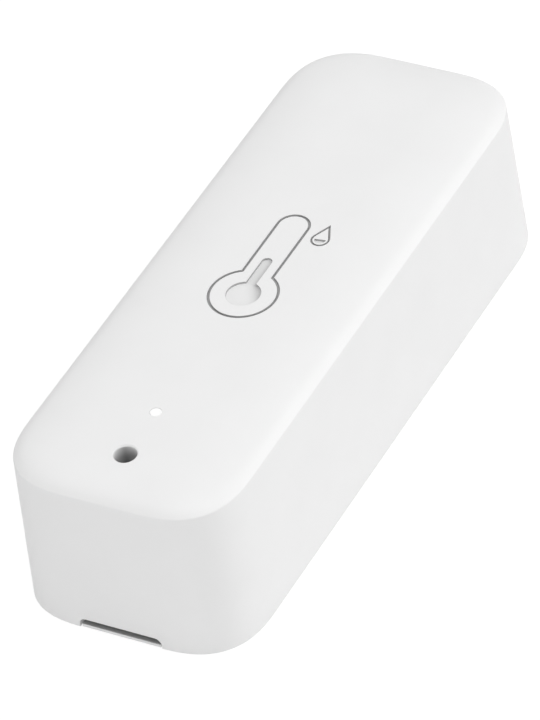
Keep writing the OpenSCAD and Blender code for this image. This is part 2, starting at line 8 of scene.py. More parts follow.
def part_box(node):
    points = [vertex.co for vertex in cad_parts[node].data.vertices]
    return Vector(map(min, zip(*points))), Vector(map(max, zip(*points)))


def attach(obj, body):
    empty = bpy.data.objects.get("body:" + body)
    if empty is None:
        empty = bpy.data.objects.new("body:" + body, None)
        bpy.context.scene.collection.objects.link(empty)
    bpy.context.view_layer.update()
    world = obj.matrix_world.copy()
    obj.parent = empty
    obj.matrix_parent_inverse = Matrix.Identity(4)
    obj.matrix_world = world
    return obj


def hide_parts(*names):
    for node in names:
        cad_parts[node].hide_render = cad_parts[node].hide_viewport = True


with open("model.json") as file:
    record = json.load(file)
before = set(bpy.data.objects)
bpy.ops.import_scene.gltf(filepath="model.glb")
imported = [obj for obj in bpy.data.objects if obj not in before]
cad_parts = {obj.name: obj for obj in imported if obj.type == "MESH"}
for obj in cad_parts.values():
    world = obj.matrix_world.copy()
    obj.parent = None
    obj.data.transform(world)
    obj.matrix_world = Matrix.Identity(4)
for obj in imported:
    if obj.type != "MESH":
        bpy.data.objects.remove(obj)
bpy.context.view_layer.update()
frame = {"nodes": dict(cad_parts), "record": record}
mm = 0.001  # everything is modelled in millimetres and brought down to metres in placePiece
print("frame loaded:", len(frame["nodes"]), "nodes")


def nodeBox(node):
    low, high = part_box(node)
    return low / mm, high / mm


def middleOf(low, high):
    return [(a + b) / 2 for a, b in zip(low, high)]


# Materials

def newMaterial(name):
    material = bpy.data.materials.new(name)
    material.use_nodes = True
    return material, material.node_tree, material.node_tree.nodes["Principled BSDF"]


def feed(tree, socket, value):
    # Links an output to the socket, or sets the socket to a plain value
    if isinstance(value, bpy.types.NodeSocket):
        tree.links.new(value, socket)
    else:
        socket.default_value = value


def addNode(tree, kind, sockets, **properties):
    node = tree.nodes.new(kind)
    for key, value in properties.items():
        setattr(node, key, value)
    for key, value in sockets.items():
        feed(tree, node.inputs[key], value)
    return node


def calculate(tree, operation, *terms):
    return addNode(tree, "ShaderNodeMath", dict(enumerate(terms)), operation=operation).outputs[0]


def mapRange(tree, field, start, end, low=0.0, high=1.0):
    # Carries a field over from one range to another and holds it at both ends
    sockets = {"Value": field, "From Min": start, "From Max": end, "To Min": low, "To Max": high}
    return addNode(tree, "ShaderNodeMapRange", sockets).outputs["Result"]


def noiseField(tree, size, detail=2.0):
    # Noise whose blotches are about this many millimetres across
    place = addNode(tree, "ShaderNodeTexCoord", {}).outputs["Object"]
    sockets = {"Vector": place, "Scale": 1 / (size * mm), "Detail": detail}
    return addNode(tree, "ShaderNodeTexNoise", sockets).outputs["Fac"]


noiseRange = (0.3, 0.7)  # nearly all of a noise's values lie in it


def spread(tree, noise, low, high):
    return mapRange(tree, noise, *noiseRange, low, high)


def blendColours(tree, field, *colours):
    first, second = [(*c, 1) if isinstance(c, tuple) else c for c in colours]
    return addNode(tree, "ShaderNodeMix", {0: field, 6: first, 7: second}, data_type="RGBA").outputs[2]


def addBump(tree, shader, field, height):
    # Height is in millimetres
    bump = addNode(tree, "ShaderNodeBump", {"Strength": 1.0, "Distance": height * mm, "Height": field})
    feed(tree, shader.inputs["Normal"], bump.outputs["Normal"])


def grainySurface(name, colour, rough, grain, depth, shade, patch, detail):
    # Wide faint patches of a darker shade, and a fine grain in the roughness and the bump
    material, tree, shader = newMaterial(name)
    wide = spread(tree, noiseField(tree, patch), 0, 1)
    fine = noiseField(tree, grain, detail)
    darker = tuple(c * shade for c in colour)
    feed(tree, shader.inputs["Base Color"], blendColours(tree, wide, darker, colour))
    feed(tree, shader.inputs["Roughness"], spread(tree, fine, *rough))
    addBump(tree, shader, fine, depth)
    return material, shader


def mouldedPlastic(name, colour, rough=(0.36, 0.44), grain=0.12, depth=0.0012):
    material, shader = grainySurface(name, colour, rough, grain, depth, shade=0.985, patch=6.0, detail=3.0)
    shader.inputs["IOR"].default_value = 1.46
    return material


def rolledMetal(name, colour, rough=(0.22, 0.34), grain=0.2, depth=0.002):
    material, shader = grainySurface(name, colour, rough, grain, depth, shade=0.86, patch=2.5, detail=4.0)
    shader.inputs["Metallic"].default_value = 1.0
    return material


maskFilm = {
    "bandScale": 0.314,  # a band texture of this scale repeats once in a unit of length
    "turnedShare": 0.5,  # share of the patches whose traces run the other way
    "plainShare": 0.35,  # share of the patches without traces
    "traceEdge": (0.62, 0.7),
    "flatness": 0.7,  # a face whose normal is less upright than this is a cut edge
    "traceHigh": 0.02,
    "rough": (0.26, 0.38),
}


def boardMask(name, mask, copper, laminate, pitch=0.9, patch=5.0):
    # Solder mask over patches of parallel traces, with bare laminate on the cut edges
    material, tree, shader = newMaterial(name)
    place = addNode(tree, "ShaderNodeTexCoord", {})
    spot = place.outputs["Object"]
    sockets = {"Vector": spot, "Scale": 1 / (patch * mm)}
    patches = addNode(tree, "ShaderNodeTexVoronoi", sockets, distance="MANHATTAN")
    kind = addNode(tree, "ShaderNodeSeparateColor", {"Color": patches.outputs["Color"]})
    sockets = {"Vector": spot, "Scale": maskFilm["bandScale"] / (pitch * mm), "Distortion": 0.0}
    first = addNode(tree, "ShaderNodeTexWave", sockets, bands_direction="X").outputs["Fac"]
    second = addNode(tree, "ShaderNodeTexWave", sockets, bands_direction="Y").outputs["Fac"]
    along = calculate(tree, "GREATER_THAN", kind.outputs["Red"], maskFilm["turnedShare"])
    bands = addNode(tree, "ShaderNodeMix", {"Factor": along, "A": first, "B": second}).outputs["Result"]
    filled = calculate(tree, "GREATER_THAN", kind.outputs["Green"], maskFilm["plainShare"])
    trace = calculate(tree, "MULTIPLY", mapRange(tree, bands, *maskFilm["traceEdge"]), filled)
    side = addNode(tree, "ShaderNodeSeparateXYZ", {"Vector": place.outputs["Normal"]}).outputs["Z"]
    onFace = calculate(tree, "GREATER_THAN", calculate(tree, "ABSOLUTE", side), maskFilm["flatness"])
    fibres = spread(tree, noiseField(tree, 0.4), 0, 1)
    bare = blendColours(tree, fibres, tuple(c * 0.8 for c in laminate), laminate)
    masked = blendColours(tree, trace, mask, copper)
    feed(tree, shader.inputs["Base Color"], blendColours(tree, onFace, bare, masked))
    feed(tree, shader.inputs["Roughness"], spread(tree, noiseField(tree, 0.3, 3.0), *maskFilm["rough"]))
    addBump(tree, shader, trace, maskFilm["traceHigh"])
    return material


finish = {
    "case_white": mouldedPlastic("caseWhite", (0.84, 0.84, 0.84), rough=(0.5, 0.58)),
    "cover_white": mouldedPlastic("coverWhite", (0.82, 0.82, 0.82), rough=(0.46, 0.56), depth=0.0014),
    "light_guide": mouldedPlastic("lightGuide", (0.95, 0.95, 0.95), rough=(0.2, 0.26), depth=0.0005),
    "tray_plastic": mouldedPlastic("trayPlastic", (0.62, 0.62, 0.61), rough=(0.45, 0.56), depth=0.004),
    "board_green": boardMask("boardGreen", (0.012, 0.1, 0.035), (0.03, 0.2, 0.06), (0.5, 0.42, 0.2)),
    "module_blue": boardMask("moduleBlue", (0.01, 0.03, 0.1), (0.02, 0.07, 0.2), (0.45, 0.38, 0.2), 0.6, 3.0),
    "chip_black": mouldedPlastic("chipBlack", (0.025, 0.025, 0.027), rough=(0.42, 0.55), grain=0.06),
    "switch_black": mouldedPlastic("switchBlack", (0.02, 0.02, 0.02), rough=(0.4, 0.5), grain=0.08),
    "steel_sheet": rolledMetal("steelSheet", (0.66, 0.66, 0.65)),
    "contact_nickel": rolledMetal("contactNickel", (0.72, 0.69, 0.63), rough=(0.2, 0.3)),
    "antenna_gold": rolledMetal("antennaGold", (0.86, 0.62, 0.26), rough=(0.18, 0.26)),
    "led_yellow": mouldedPlastic("ledYellow", (0.8, 0.72, 0.35), rough=(0.25, 0.3)),
    "capacitor_tan": mouldedPlastic("capacitorTan", (0.62, 0.38, 0.08), rough=(0.35, 0.45)),
    "ceramic_tan": mouldedPlastic("ceramicTan", (0.48, 0.33, 0.2), rough=(0.4, 0.5)),
    "cell_jacket": mouldedPlastic("cellJacket", (0.1, 0.13, 0.16), rough=(0.25, 0.32)),
    "cellBand": mouldedPlastic("cellBand", (0.5, 0.52, 0.54), rough=(0.25, 0.32)),
    "chipWhite": mouldedPlastic("chipWhite", (0.75, 0.74, 0.7), rough=(0.35, 0.42), grain=0.05),
    "solder": rolledMetal("solder", (0.7, 0.7, 0.68), rough=(0.25, 0.4), grain=0.12, depth=0.006),
    "capacitorBand": mouldedPlastic("capacitorBand", (0.2, 0.11, 0.03), rough=(0.4, 0.5)),
    "membrane": mouldedPlastic("membrane", (0.8, 0.8, 0.78), rough=(0.7, 0.85), grain=0.03, depth=0.004),
    "plunger": mouldedPlastic("plunger", (0.16, 0.16, 0.16), rough=(0.4, 0.5), grain=0.08),
    "screwSteel": rolledMetal("screwSteel", (0.5, 0.5, 0.5), rough=(0.28, 0.42), grain=0.15, depth=0.004),
    # Painted shade: flat greys on the walls and floors of the engraved lines and on the walls of the sunk
    # recesses
    "engravedGrey": mouldedPlastic("engravedGrey", (0.42, 0.42, 0.42), rough=(0.5, 0.6), grain=0.05),
    "recessGrey": mouldedPlastic("recessGrey", (0.42, 0.42, 0.42), rough=(0.5, 0.6), grain=0.05),
}
# Painted glow: the light guide emits a faint white light of its own, though it is no lamp
guideGlowShader = finish["light_guide"].node_tree.nodes["Principled BSDF"]
guideGlowShader.inputs["Emission Color"].default_value = (1, 1, 1, 1)
guideGlowShader.inputs["Emission Strength"].default_value = 0.04
slotOfNode = {part["node"]: part["material_slot"] for part in frame["record"]["subparts"]}
print("materials made:", len(finish))


def paintedShade(name, way, span, greys, power=1.0, lift=None):
    # Plastic with painted shade: its grey changes over a span along a direction, standing in for the shade in
    # a cut that little light reaches.
    # Lift is (direction, middle, span, amount): painted light, paler by an amount away from a middle plane; a
    # negative amount paints more shade instead.
    finish[name] = mouldedPlastic(name, (greys[0],) * 3, rough=(0.5, 0.6), grain=0.05)
    tree = finish[name].node_tree
    place = addNode(tree, "ShaderNodeTexCoord", {}).outputs["Object"]

    def distance(way, middle=0.0):
        sockets = {0: place, 1: Vector(way) * middle * mm}
        shifted = addNode(tree, "ShaderNodeVectorMath", sockets, operation="SUBTRACT").outputs["Vector"]
        along = addNode(tree, "ShaderNodeVectorMath", {0: shifted, 1: way}, operation="DOT_PRODUCT")
        return along.outputs["Value"]

    share = mapRange(tree, distance(way), span[0] * mm, span[1] * mm)
    shade = mapRange(tree, calculate(tree, "POWER", share, power), 0.0, 1.0, *greys)
    if lift:
        way, middle, (near, far), amount = lift
        aside = calculate(tree, "ABSOLUTE", distance(way, middle))
        paler = mapRange(tree, aside, near * mm, far * mm, 0.0, amount)
        shade = calculate(tree, "ADD", paler, shade)
    feed(tree, tree.nodes["Principled BSDF"].inputs["Base Color"], shade)


# Modelling tools

def smoothOver(piece, angle):
    mesh = piece.data
    mesh.polygons.foreach_set("use_smooth", [True] * len(mesh.polygons))
    mesh.set_sharp_from_angle(angle=radians(angle))


def placePiece(piece, body, slot, *nodes, angle=32):
    piece.data.transform(Matrix.Scale(mm, 4))
    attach(piece, body)
    if nodes:
        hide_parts(*nodes)
    smoothOver(piece, angle)
    return piece


def meshPiece(name, bm, *finishes):
    bmesh.ops.recalc_face_normals(bm, faces=bm.faces)
    mesh = bpy.data.meshes.new(name)
    bm.to_mesh(mesh)
    bm.free()
    for key in finishes:
        mesh.materials.append(finish[key])
    piece = bpy.data.objects.new(name, mesh)
    bpy.context.scene.collection.objects.link(piece)
    return piece


def combine(piece, tool, operation):
    step = piece.modifiers.new(operation, "BOOLEAN")
    step.operation = operation
    step.object = tool
    step.solver = "EXACT"
    step.material_mode = "TRANSFER"
    bpy.context.view_layer.objects.active = piece
    bpy.ops.object.modifier_apply(modifier=step.name)
    bpy.data.objects.remove(tool)


def addRings(bm, rings, material=0, closed=False):
    # Skin through a stack of rings of points, capped at both ends unless it closes on itself
    rows = [[bm.verts.new(p) for p in ring] for ring in rings]
    pairs = list(zip(rows, rows[1:] + rows[:1])) if closed else list(zip(rows, rows[1:]))
    faces = []
    for low, high in pairs:
        for i in range(len(low)):
            j = (i + 1) % len(low)
            faces.append(bm.faces.new((low[i], low[j], high[j], high[i])))
    if not closed:
        faces += [bm.faces.new(rows[0][::-1]), bm.faces.new(rows[-1])]
    for face in faces:
        face.material_index = material
    return faces


def turn(profile, centre, axis="z", steps=64):
    # Rings of a turned shape: the profile is a list of (radius, distance along the axis)
    rings = []
    for radius, along in profile:
        ring = []
        for i in range(steps):
            a = 2 * pi * i / steps
            u, v = radius * cos(a), radius * sin(a)
            ring.append(Vector({"z": (u, v, along), "y": (v, along, u)}[axis]) + Vector(centre))
        rings.append(ring)
    return rings


def addTurned(bm, profile, centre, axis="z", steps=64, material=0, closed=False):
    return addRings(bm, turn(profile, centre, axis, steps), material, closed)


def bored(piece, profile, centre, steps=64):
    # Cuts a turned bore into a piece, takes the piece away and gives its mesh back for more shapes
    tool = bmesh.new()
    addTurned(tool, profile, centre, steps=steps)
    combine(piece, meshPiece("boreTool", tool), "DIFFERENCE")
    bm = bmesh.new()
    bm.from_mesh(piece.data)
    bpy.data.objects.remove(piece)
    return bm


def flat(points, z):
    return [(x, y, z) for x, y in points]


def addSlab(bm, outline, heights, material=0):
    return addRings(bm, [flat(outline, z) for z in heights], material)


def addStrip(bm, section, ends, material=0):
    # Carries a section across X and Z from one place along Y to another
    return addRings(bm, [[(x, y, z) for x, z in section] for y in ends], material)


def soften(bm, faces, width, segments=2):
    # Rounds the sharp edges of the faces given
    bm.normal_update()
    sharp = 0.6  # radians
    edges = {e for f in faces for e in f.edges if len(e.link_faces) == 2 and e.calc_face_angle(0) > sharp}
    bmesh.ops.bevel(bm, geom=list(edges), offset=width, offset_type="OFFSET", segments=segments, profile=0.5,
                    affect="EDGES", clamp_overlap=True)


def addBlock(bm, low, high, rounding=0.0, material=0):
    made = bmesh.ops.create_cube(bm, size=1.0)
    low, high = Vector(low), Vector(high)
    for vertex in made["verts"]:
        vertex.co = Vector([vertex.co[i] * (high[i] - low[i]) + (high[i] + low[i]) / 2 for i in range(3)])
    faces = {f for v in made["verts"] for f in v.link_faces}
    for face in faces:
        face.material_index = material
    if rounding:
        soften(bm, faces, rounding)


def addTube(bm, path, radius, sides=12):
    rings = []
    side = None
    for k, point in enumerate(path):
        ahead = (path[min(k + 1, len(path) - 1)] - path[max(k - 1, 0)]).normalized()
        side = ahead.orthogonal() if side is None else side - ahead * side.dot(ahead)
        side.normalize()
        up = ahead.cross(side)
        turns = [2 * pi * i / sides for i in range(sides)]
        rings.append([point + (side * cos(a) + up * sin(a)) * radius for a in turns])
    addRings(bm, rings)


def arc(x, y, radius, start, sweep, steps):
    angles = [start + sweep * k / steps for k in range(steps + 1)]
    return [(x + radius * cos(a), y + radius * sin(a)) for a in angles]


def plainOutline(w, l, corner, steps, x=0, y=0):
    # Counterclockwise round rectangle about a point, given its half sizes
    points = []
    for quarter, (right, back) in enumerate(((1, 1), (-1, 1), (-1, -1), (1, -1))):
        for step in range(steps + 1):
            a = pi / 2 * (quarter + step / steps)
            u, v = right * (w - corner) + corner * cos(a), back * (l - corner) + corner * sin(a)
            points.append((x + u, y + v))
    return points


# Housing

housing = {
    "wall": 1.5,
    "topWall": 1.65,
    "sideLean": 1.35,  # degrees
    "endLean": 1.6,
    "corner": 8.5,
    "cornerPower": 2.65,  # 2 is a plain arc, more is squarer
    "crownRise": 1.5,
    "crownRun": 8.3,
    "crownPower": 2.5,
    "rollRise": 0.38,  # the part of crownRise that a tighter roll beside the crease takes
    "rollRun": 1.7,
    "rollPower": 3.0,
    "edgeRadius": 0.3,
    "rimRadius": 0.03,
    "cornerSteps": 28,
    "rimRings": 3,
    "edgeRings": 6,
    "crownRings": 26,
    "crownBunching": 1.3,  # over 1, the rings stand closer beside the edge
    "innerRings": 16,
    "innerBunching": 1.4,
}
shellLow, shellHigh = nodeBox("top_housing")
bodyW, bodyL, bodyH = shellHigh - shellLow
creaseZ = bodyH - housing["crownRise"]
ceilingZ = bodyH - housing["topWall"]
sideTan, endTan = tan(radians(housing["sideLean"])), tan(radians(housing["endLean"]))
boardLow, boardHigh = nodeBox("circuit_board")
boardTop = boardHigh.z
crownParts = (  # (rise, run, power) of the dome and of the roll
    (housing["crownRise"] - housing["rollRise"], housing["crownRun"], housing["crownPower"]),
    (housing["rollRise"], housing["rollRun"], housing["rollPower"]),
)


def halfW(z):
    return bodyW / 2 - z * sideTan


def halfL(z):
    return bodyL / 2 - z * endTan


def shareAhead(inset, run):
    return 1 - min(max(inset / run, 0), 1)


def crownZ(inset):
    return creaseZ + sum(rise * (1 - shareAhead(inset, run) ** power) for rise, run, power in crownParts)


def crownSteep(inset):
    return sum(power * rise / run * shareAhead(inset, run) ** (power - 1) for rise, run, power in crownParts)


def levelOutline(z, inset, steps=housing["cornerSteps"]):
    # Outline of the leaning wall at a height, drawn in by an inset: superelliptic corners, counterclockwise
    corner = housing["corner"] - inset
    w, l = halfW(z) - inset, halfL(z) - inset
    power = 2 / housing["cornerPower"]
    points = []
    for quarter in range(4):
        right = 1 if quarter in (0, 3) else -1
        back = 1 if quarter < 2 else -1
        for step in range(steps + 1):
            a = pi / 2 * (step if quarter % 2 == 0 else steps - step) / steps
            x = corner * max(cos(a), 0) ** power
            y = corner * max(sin(a), 0) ** power
            points.append((right * (w - corner + x), back * (l - corner + y)))
    return points


def crownRing(inset, z):
    return flat(levelOutline(creaseZ, inset), z)


# The fillet's arc is tangent to the leaning wall and to the crown
crownSlope = atan(crownSteep(0))
wallTurn = pi / 2 - radians(housing["sideLean"])
filletShift = housing["edgeRadius"] / (1 + cos(wallTurn - crownSlope))
filletInset = filletShift * (sin(wallTurn) + sin(crownSlope))
filletZ = creaseZ - filletShift * (cos(wallTurn) + cos(crownSlope))
crownStart = filletInset - housing["edgeRadius"] * sin(crownSlope)
wallTop = filletZ + housing["edgeRadius"] * cos(wallTurn)


def outerRings():
    r, rim = housing["edgeRadius"], housing["rimRadius"]
    rings = []
    for k in range(housing["rimRings"] + 1):
        a = pi / 2 * k / housing["rimRings"]
        z = rim * (1 - cos(a))
        rings.append(flat(levelOutline(z, rim * (1 - sin(a))), z))
    for k in range(housing["edgeRings"] + 1):
        a = wallTurn + (crownSlope - wallTurn) * k / housing["edgeRings"]
        rings.append(crownRing(filletInset - r * sin(a), filletZ + r * cos(a)))
    for k in range(1, housing["crownRings"] + 1):
        share = (k / housing["crownRings"]) ** housing["crownBunching"]
        inset = crownStart + (housing["crownRun"] - crownStart) * share
        rings.append(crownRing(inset, crownZ(inset)))
    return rings


def skinNormal(p):
    # True normal of the outer skin at a point in millimetres, so that long faces shade as one surface
    tiny, close = 1e-6, 1e-3
    z = min(p.z, creaseZ)
    w = halfW(z) - housing["corner"]
    l = halfL(z) - housing["corner"]
    dx, dy = max(abs(p.x) - w, 0.0), max(abs(p.y) - l, 0.0)
    power = housing["cornerPower"]
    size = (dx ** power + dy ** power) ** (1 / power)
    if size < tiny:
        return Vector((0, 0, 1))
    gx, gy = (dx / size) ** (power - 1), (dy / size) ** (power - 1)
    inset = housing["corner"] - size
    if p.z < wallTop + close:
        up = gx * sideTan + gy * endTan
    elif inset < crownStart:
        up = (p.z - filletZ) / max(filletInset - inset, tiny)
    else:
        steep = crownSteep(inset)
        if steep < tiny:
            return Vector((0, 0, 1))
        up = 1 / steep
    return Vector((copysign(gx, p.x), copysign(gy, p.y), up)).normalized()


pictogram = {
    "lineWidth": 0.27,
    "lineDepth": 0.25,
    "flare": 0.012,  # softened rims of the cuts
    "bulbRadius": 3.45,
    "bulbY": -4.52,
    "bulbSteps": 72,
    "tubeRadius": 1.65,
    "tubeY": 6.15,
    "tubeSteps": 32,
    "fluidRadius": 1.75,
    "columnRadius": 0.55,
    "columnY": 0.5,
    "fluidDepth": 0.22,
    "dropX": 3.5,
    "dropY": 5.22,
    "dropRadius": 0.88,
    "dropTip": 2.05,
    "dropLine": 0.2,
    "waterRadius": 0.58,
    "waterTilt": 7.0,  # degrees
    "rimWay": (0.371, 0.928, 0),  # across the bulb, towards the stretches of its rim that get painted shade
}
# Painted shade on the sunk floors of the bulb and its column: darker towards the right, and the bulb's floor
# also darker near its rim along rimWay
paintedShade("bulbGrey", way=(1, 0.6, 0), span=(-3.01, -1.21), greys=(0.8, 0.59), power=2.8,
       lift=(pictogram["rimWay"], pictogram["rimWay"][1] * pictogram["bulbY"], (1.5, 1.75), -0.1))
paintedShade("columnGrey", way=(1, 0, 0), span=(-0.5, 0.45), greys=(0.72, 0.56), power=2.2)


def thermometerOutline(bulb, tube, endY):
    # Bulb from one side of the tube round to the other, then the round end of the tube
    joint = acos(tube / bulb)
    points = arc(0, pictogram["bulbY"], bulb, joint, -(pi + 2 * joint), pictogram["bulbSteps"])
    points += arc(0, endY, tube, pi, -pi, pictogram["tubeSteps"])
    return points[::-1]


def glassOutline(grow):
    p = pictogram
    return thermometerOutline(p["bulbRadius"] + grow, p["tubeRadius"] + grow, p["tubeY"])


def fluidOutline(grow):
    p = pictogram
    return thermometerOutline(p["fluidRadius"] + grow, p["columnRadius"] + grow, p["columnY"])


def dropOutline(grow):
    x, y = pictogram["dropX"], pictogram["dropY"]
    radius = pictogram["dropRadius"] + grow
    tip = pictogram["dropTip"] * radius / pictogram["dropRadius"]
    joint = asin(radius / tip)
    return [(x, y + tip)] + arc(x, y, radius, pi - joint, pi + 2 * joint, 40)


def waterOutline(grow):
    # Half a disc with its straight side up
    start = radians(pictogram["waterTilt"]) + pi
    radius = pictogram["waterRadius"] + grow
    points = arc(pictogram["dropX"], pictogram["dropY"], radius, start, pi, 24)
    for end in (0, -1):
        points[end] = (points[end][0], points[end][1] + grow)
    return points


def cutLevels(depth):
    # (height, growth) up through a cut: straight walls, then a small flare at the rim
    flare = pictogram["flare"]
    floor, past = bodyH - depth, bodyH + 0.2
    return [(floor, 0), (bodyH - flare, 0), (bodyH - flare * 0.4, flare * 0.3), (bodyH, flare), (past, flare)]


def addGroove(bm, outlineAt, width, material):
    # Closed channel of four-sided section that follows an outline
    levels = cutLevels(pictogram["lineDepth"])
    outer = [flat(outlineAt(width / 2 + grow), z) for z, grow in levels]
    inner = [flat(outlineAt(-width / 2 - grow), z) for z, grow in levels]
    addRings(bm, outer + inner[::-1], material, closed=True)


def pictogramCutter():
    bm = bmesh.new()
    # The cuts carry painted shade: grey on the engraved lines and the sunk walls, and graded greys on the
    # sunk floors of the bulb and its column
    addGroove(bm, glassOutline, pictogram["lineWidth"], 1)
    addGroove(bm, dropOutline, pictogram["dropLine"], 1)
    levels = cutLevels(pictogram["fluidDepth"])
    water = addRings(bm, [flat(waterOutline(grow), z) for z, grow in levels], 2)
    water[-2].material_index = 0  # its floor stays white, without painted shade
    floor = addRings(bm, [flat(fluidOutline(grow), z) for z, grow in levels], 2)[-2]
    split = bmesh.utils.face_split(floor, floor.verts[0], floor.verts[pictogram["bulbSteps"]])[0]
    floors = sorted((floor, split), key=lambda face: face.calc_center_median().y)
    for k, face in enumerate(floors):
        face.material_index = 3 + k
    greys = ("engravedGrey", "recessGrey", "bulbGrey", "columnGrey")
    return meshPiece("pictogramCutter", bm, "case_white", *greys)


openings = {
    "holeRadius": 1.15,
    "holeRim": 0.12,  # rounding of the hole's mouth
    "guideDeep": 0.5,  # ring under the hole that guides a pin to the switch
    "guideThick": 0.45,
    "lightRadius": 0.585,
    "lightPlay": 0.025,
    "slotWidth": 9.0,
    "slotHeight": 1.14,
    "slotCorner": 0.72,
    "boreWay": Vector((0.835, 0.55, 0)),  # across the bore, towards its two sides that get painted light
}
lightLow, lightHigh = nodeBox("light_pipe")
lightY = (lightLow.y + lightHigh.y) / 2
plungerLow, plungerHigh = nodeBox("switch_plunger")
holeY = (plungerLow.y + plungerHigh.y) / 2
holeCentre = (0, holeY, 0)
# Painted shade in the slot, with painted light on its two end walls; painted shade down the bore, darker with
# depth, with painted light on its two sides along boreWay
paintedShade("slotGrey", way=(1, 0, 0), span=(0, 1), greys=(0.5, 0.5), lift=((1, 0, 0), 0, (4.0, 4.45), 0.34))
paintedShade("boreGrey", way=(0, 0, 1), span=(ceilingZ + 0.15, bodyH - 0.1), greys=(0.29, 0.62), power=2.0,
       lift=(openings["boreWay"], openings["boreWay"].y * holeY, (0.1, 1.1), 0.3))


def openingCutter():
    bm = bmesh.new()
    r, rim = openings["holeRadius"], openings["holeRim"]
    mouth = crownZ(halfL(creaseZ) + holeY)
    profile = [(r, ceilingZ - 1), (r, mouth - rim)]
    profile += [(r + rim * (1 - cos(a)), mouth - rim + rim * sin(a)) for a in (0.35, 0.7, 1.05, 1.4)]
    profile += [(r + rim, mouth), (r + rim, mouth + 0.5)]
    for face in addTurned(bm, profile, holeCentre):
        if face.calc_center_median().z > mouth - rim:
            face.material_index = 2  # only the bore itself gets the painted shade, not its mouth
    light = openings["lightRadius"] + openings["lightPlay"]
    addTurned(bm, [(light, ceilingZ - 1), (light, bodyH + 0.5)], (0, lightY, 0), steps=48, material=2)
    half, high, corner = openings["slotWidth"] / 2, openings["slotHeight"], openings["slotCorner"]
    section = [(-half, -1)] + arc(corner - half, high - corner, corner, pi, -pi / 2, 12)
    section += [(-x, z) for x, z in section[::-1]]
    front = -bodyL / 2
    addStrip(bm, section, (front - 1, front + housing["wall"] + 1), 1)
    return meshPiece("openingCutter", bm, "boreGrey", "slotGrey", "case_white")


inside = {
    "bossRadius": 2.0,
    "bossFoot": 0.35,
    "boreRadius": 0.975,
    "boreDeep": 2.55,
    "boreMouth": 0.15,
    "pegRadius": 0.8,
    "pegs": ((8.8, 0.35), (-8.8, 0.75)),  # place across, and share of the cells' length
    "bite": 0.3,  # how far bosses, pegs and ledges reach into the wall they stand on
    "ledgeReach": 0.4,
    "ledgeLow": 1.5,
    "ledgeHeight": 0.8,
}
screws = {
    "headRadius": 1.75,
    "headHigh": 1.05,
    "dome": ((0.35, 0), (0.62, 0.03), (0.85, 0.16), (0.97, 0.4), (1, 0.6)),  # (share of the radius, height)
    "threadRadius": 0.95,
    "coreRadius": 0.78,
    "pitch": 0.6,
    "crestHalf": 0.32,  # half the width of a crest, as a share of the pitch
    "pointLong": 0.5,
    "pointShare": 0.35,  # share of the shaft's radius that is left at its point
    "rowHigh": 0.05,
    "steps": 48,
    "crossLong": 1.0,
    "crossWide": 0.2,
    "crossDeep": 0.6,
}
screwsLow, screwsHigh = nodeBox("tray_screws")
headRadius = screws["headRadius"]
screwPlaces = (
    (0, screwsHigh.y - headRadius),
    (screwsLow.x + headRadius, screwsLow.y + headRadius),
    (screwsHigh.x - headRadius, screwsLow.y + headRadius),
)


def innerTool():
    bm = bmesh.new()
    wall = housing["wall"]
    rings = [flat(levelOutline(-1.0, wall), -1.0)]
    for k in range(housing["innerRings"] + 1):
        share = (k / housing["innerRings"]) ** housing["innerBunching"]
        inset = wall + (housing["crownRun"] - wall) * share
        rings.append(crownRing(inset, crownZ(inset) - housing["topWall"]))
    addRings(bm, rings)
    return meshPiece("innerTool", bm, "case_white")


cover = {
    "thick": 1.4,
    "gap": 0.12,
    "steps": 20,
    "skirtThick": 0.9,
    "skirtHigh": 1.1,
    "skirtSoft": 0.12,
    "soften": 0.15,  # rounding of the edge that meets the shelf
    "restWide": 1.2,
    "restHigh": 0.5,
    "restShares": (0.2, 0.8),  # places of the cell rests along the cells
    "tabThick": 0.38,
    "tabGap": 0.18,
    "tabLong": 4.0,
    "channelDeep": 1.9,
    "armWide": 5.0,
    "armThick": 0.65,
    "armRoom": 0.5,
    "barbHigh": 1.3,
    "barbReach": 0.37,
}
coverLow = nodeBox("back_cover")[0]
armsLow, armsHigh = nodeBox("snap_arms")
leftCellLow, leftCellHigh = nodeBox("cell_left")
rightCellLow, rightCellHigh = nodeBox("cell_right")
cellRadius = (leftCellHigh.z - leftCellLow.z) / 2
cellX, _, cellZ = middleOf(rightCellLow, rightCellHigh)
cellLength = leftCellHigh.y - leftCellLow.y
bayFront = rightCellLow.y
armEnds = ((armsLow.y, armsLow.y + cover["armWide"]), (armsHigh.y - cover["armWide"], armsHigh.y))
armX = armsHigh.x - cover["barbReach"]
tabHalf = openings["slotWidth"] / 2 - cover["tabGap"]


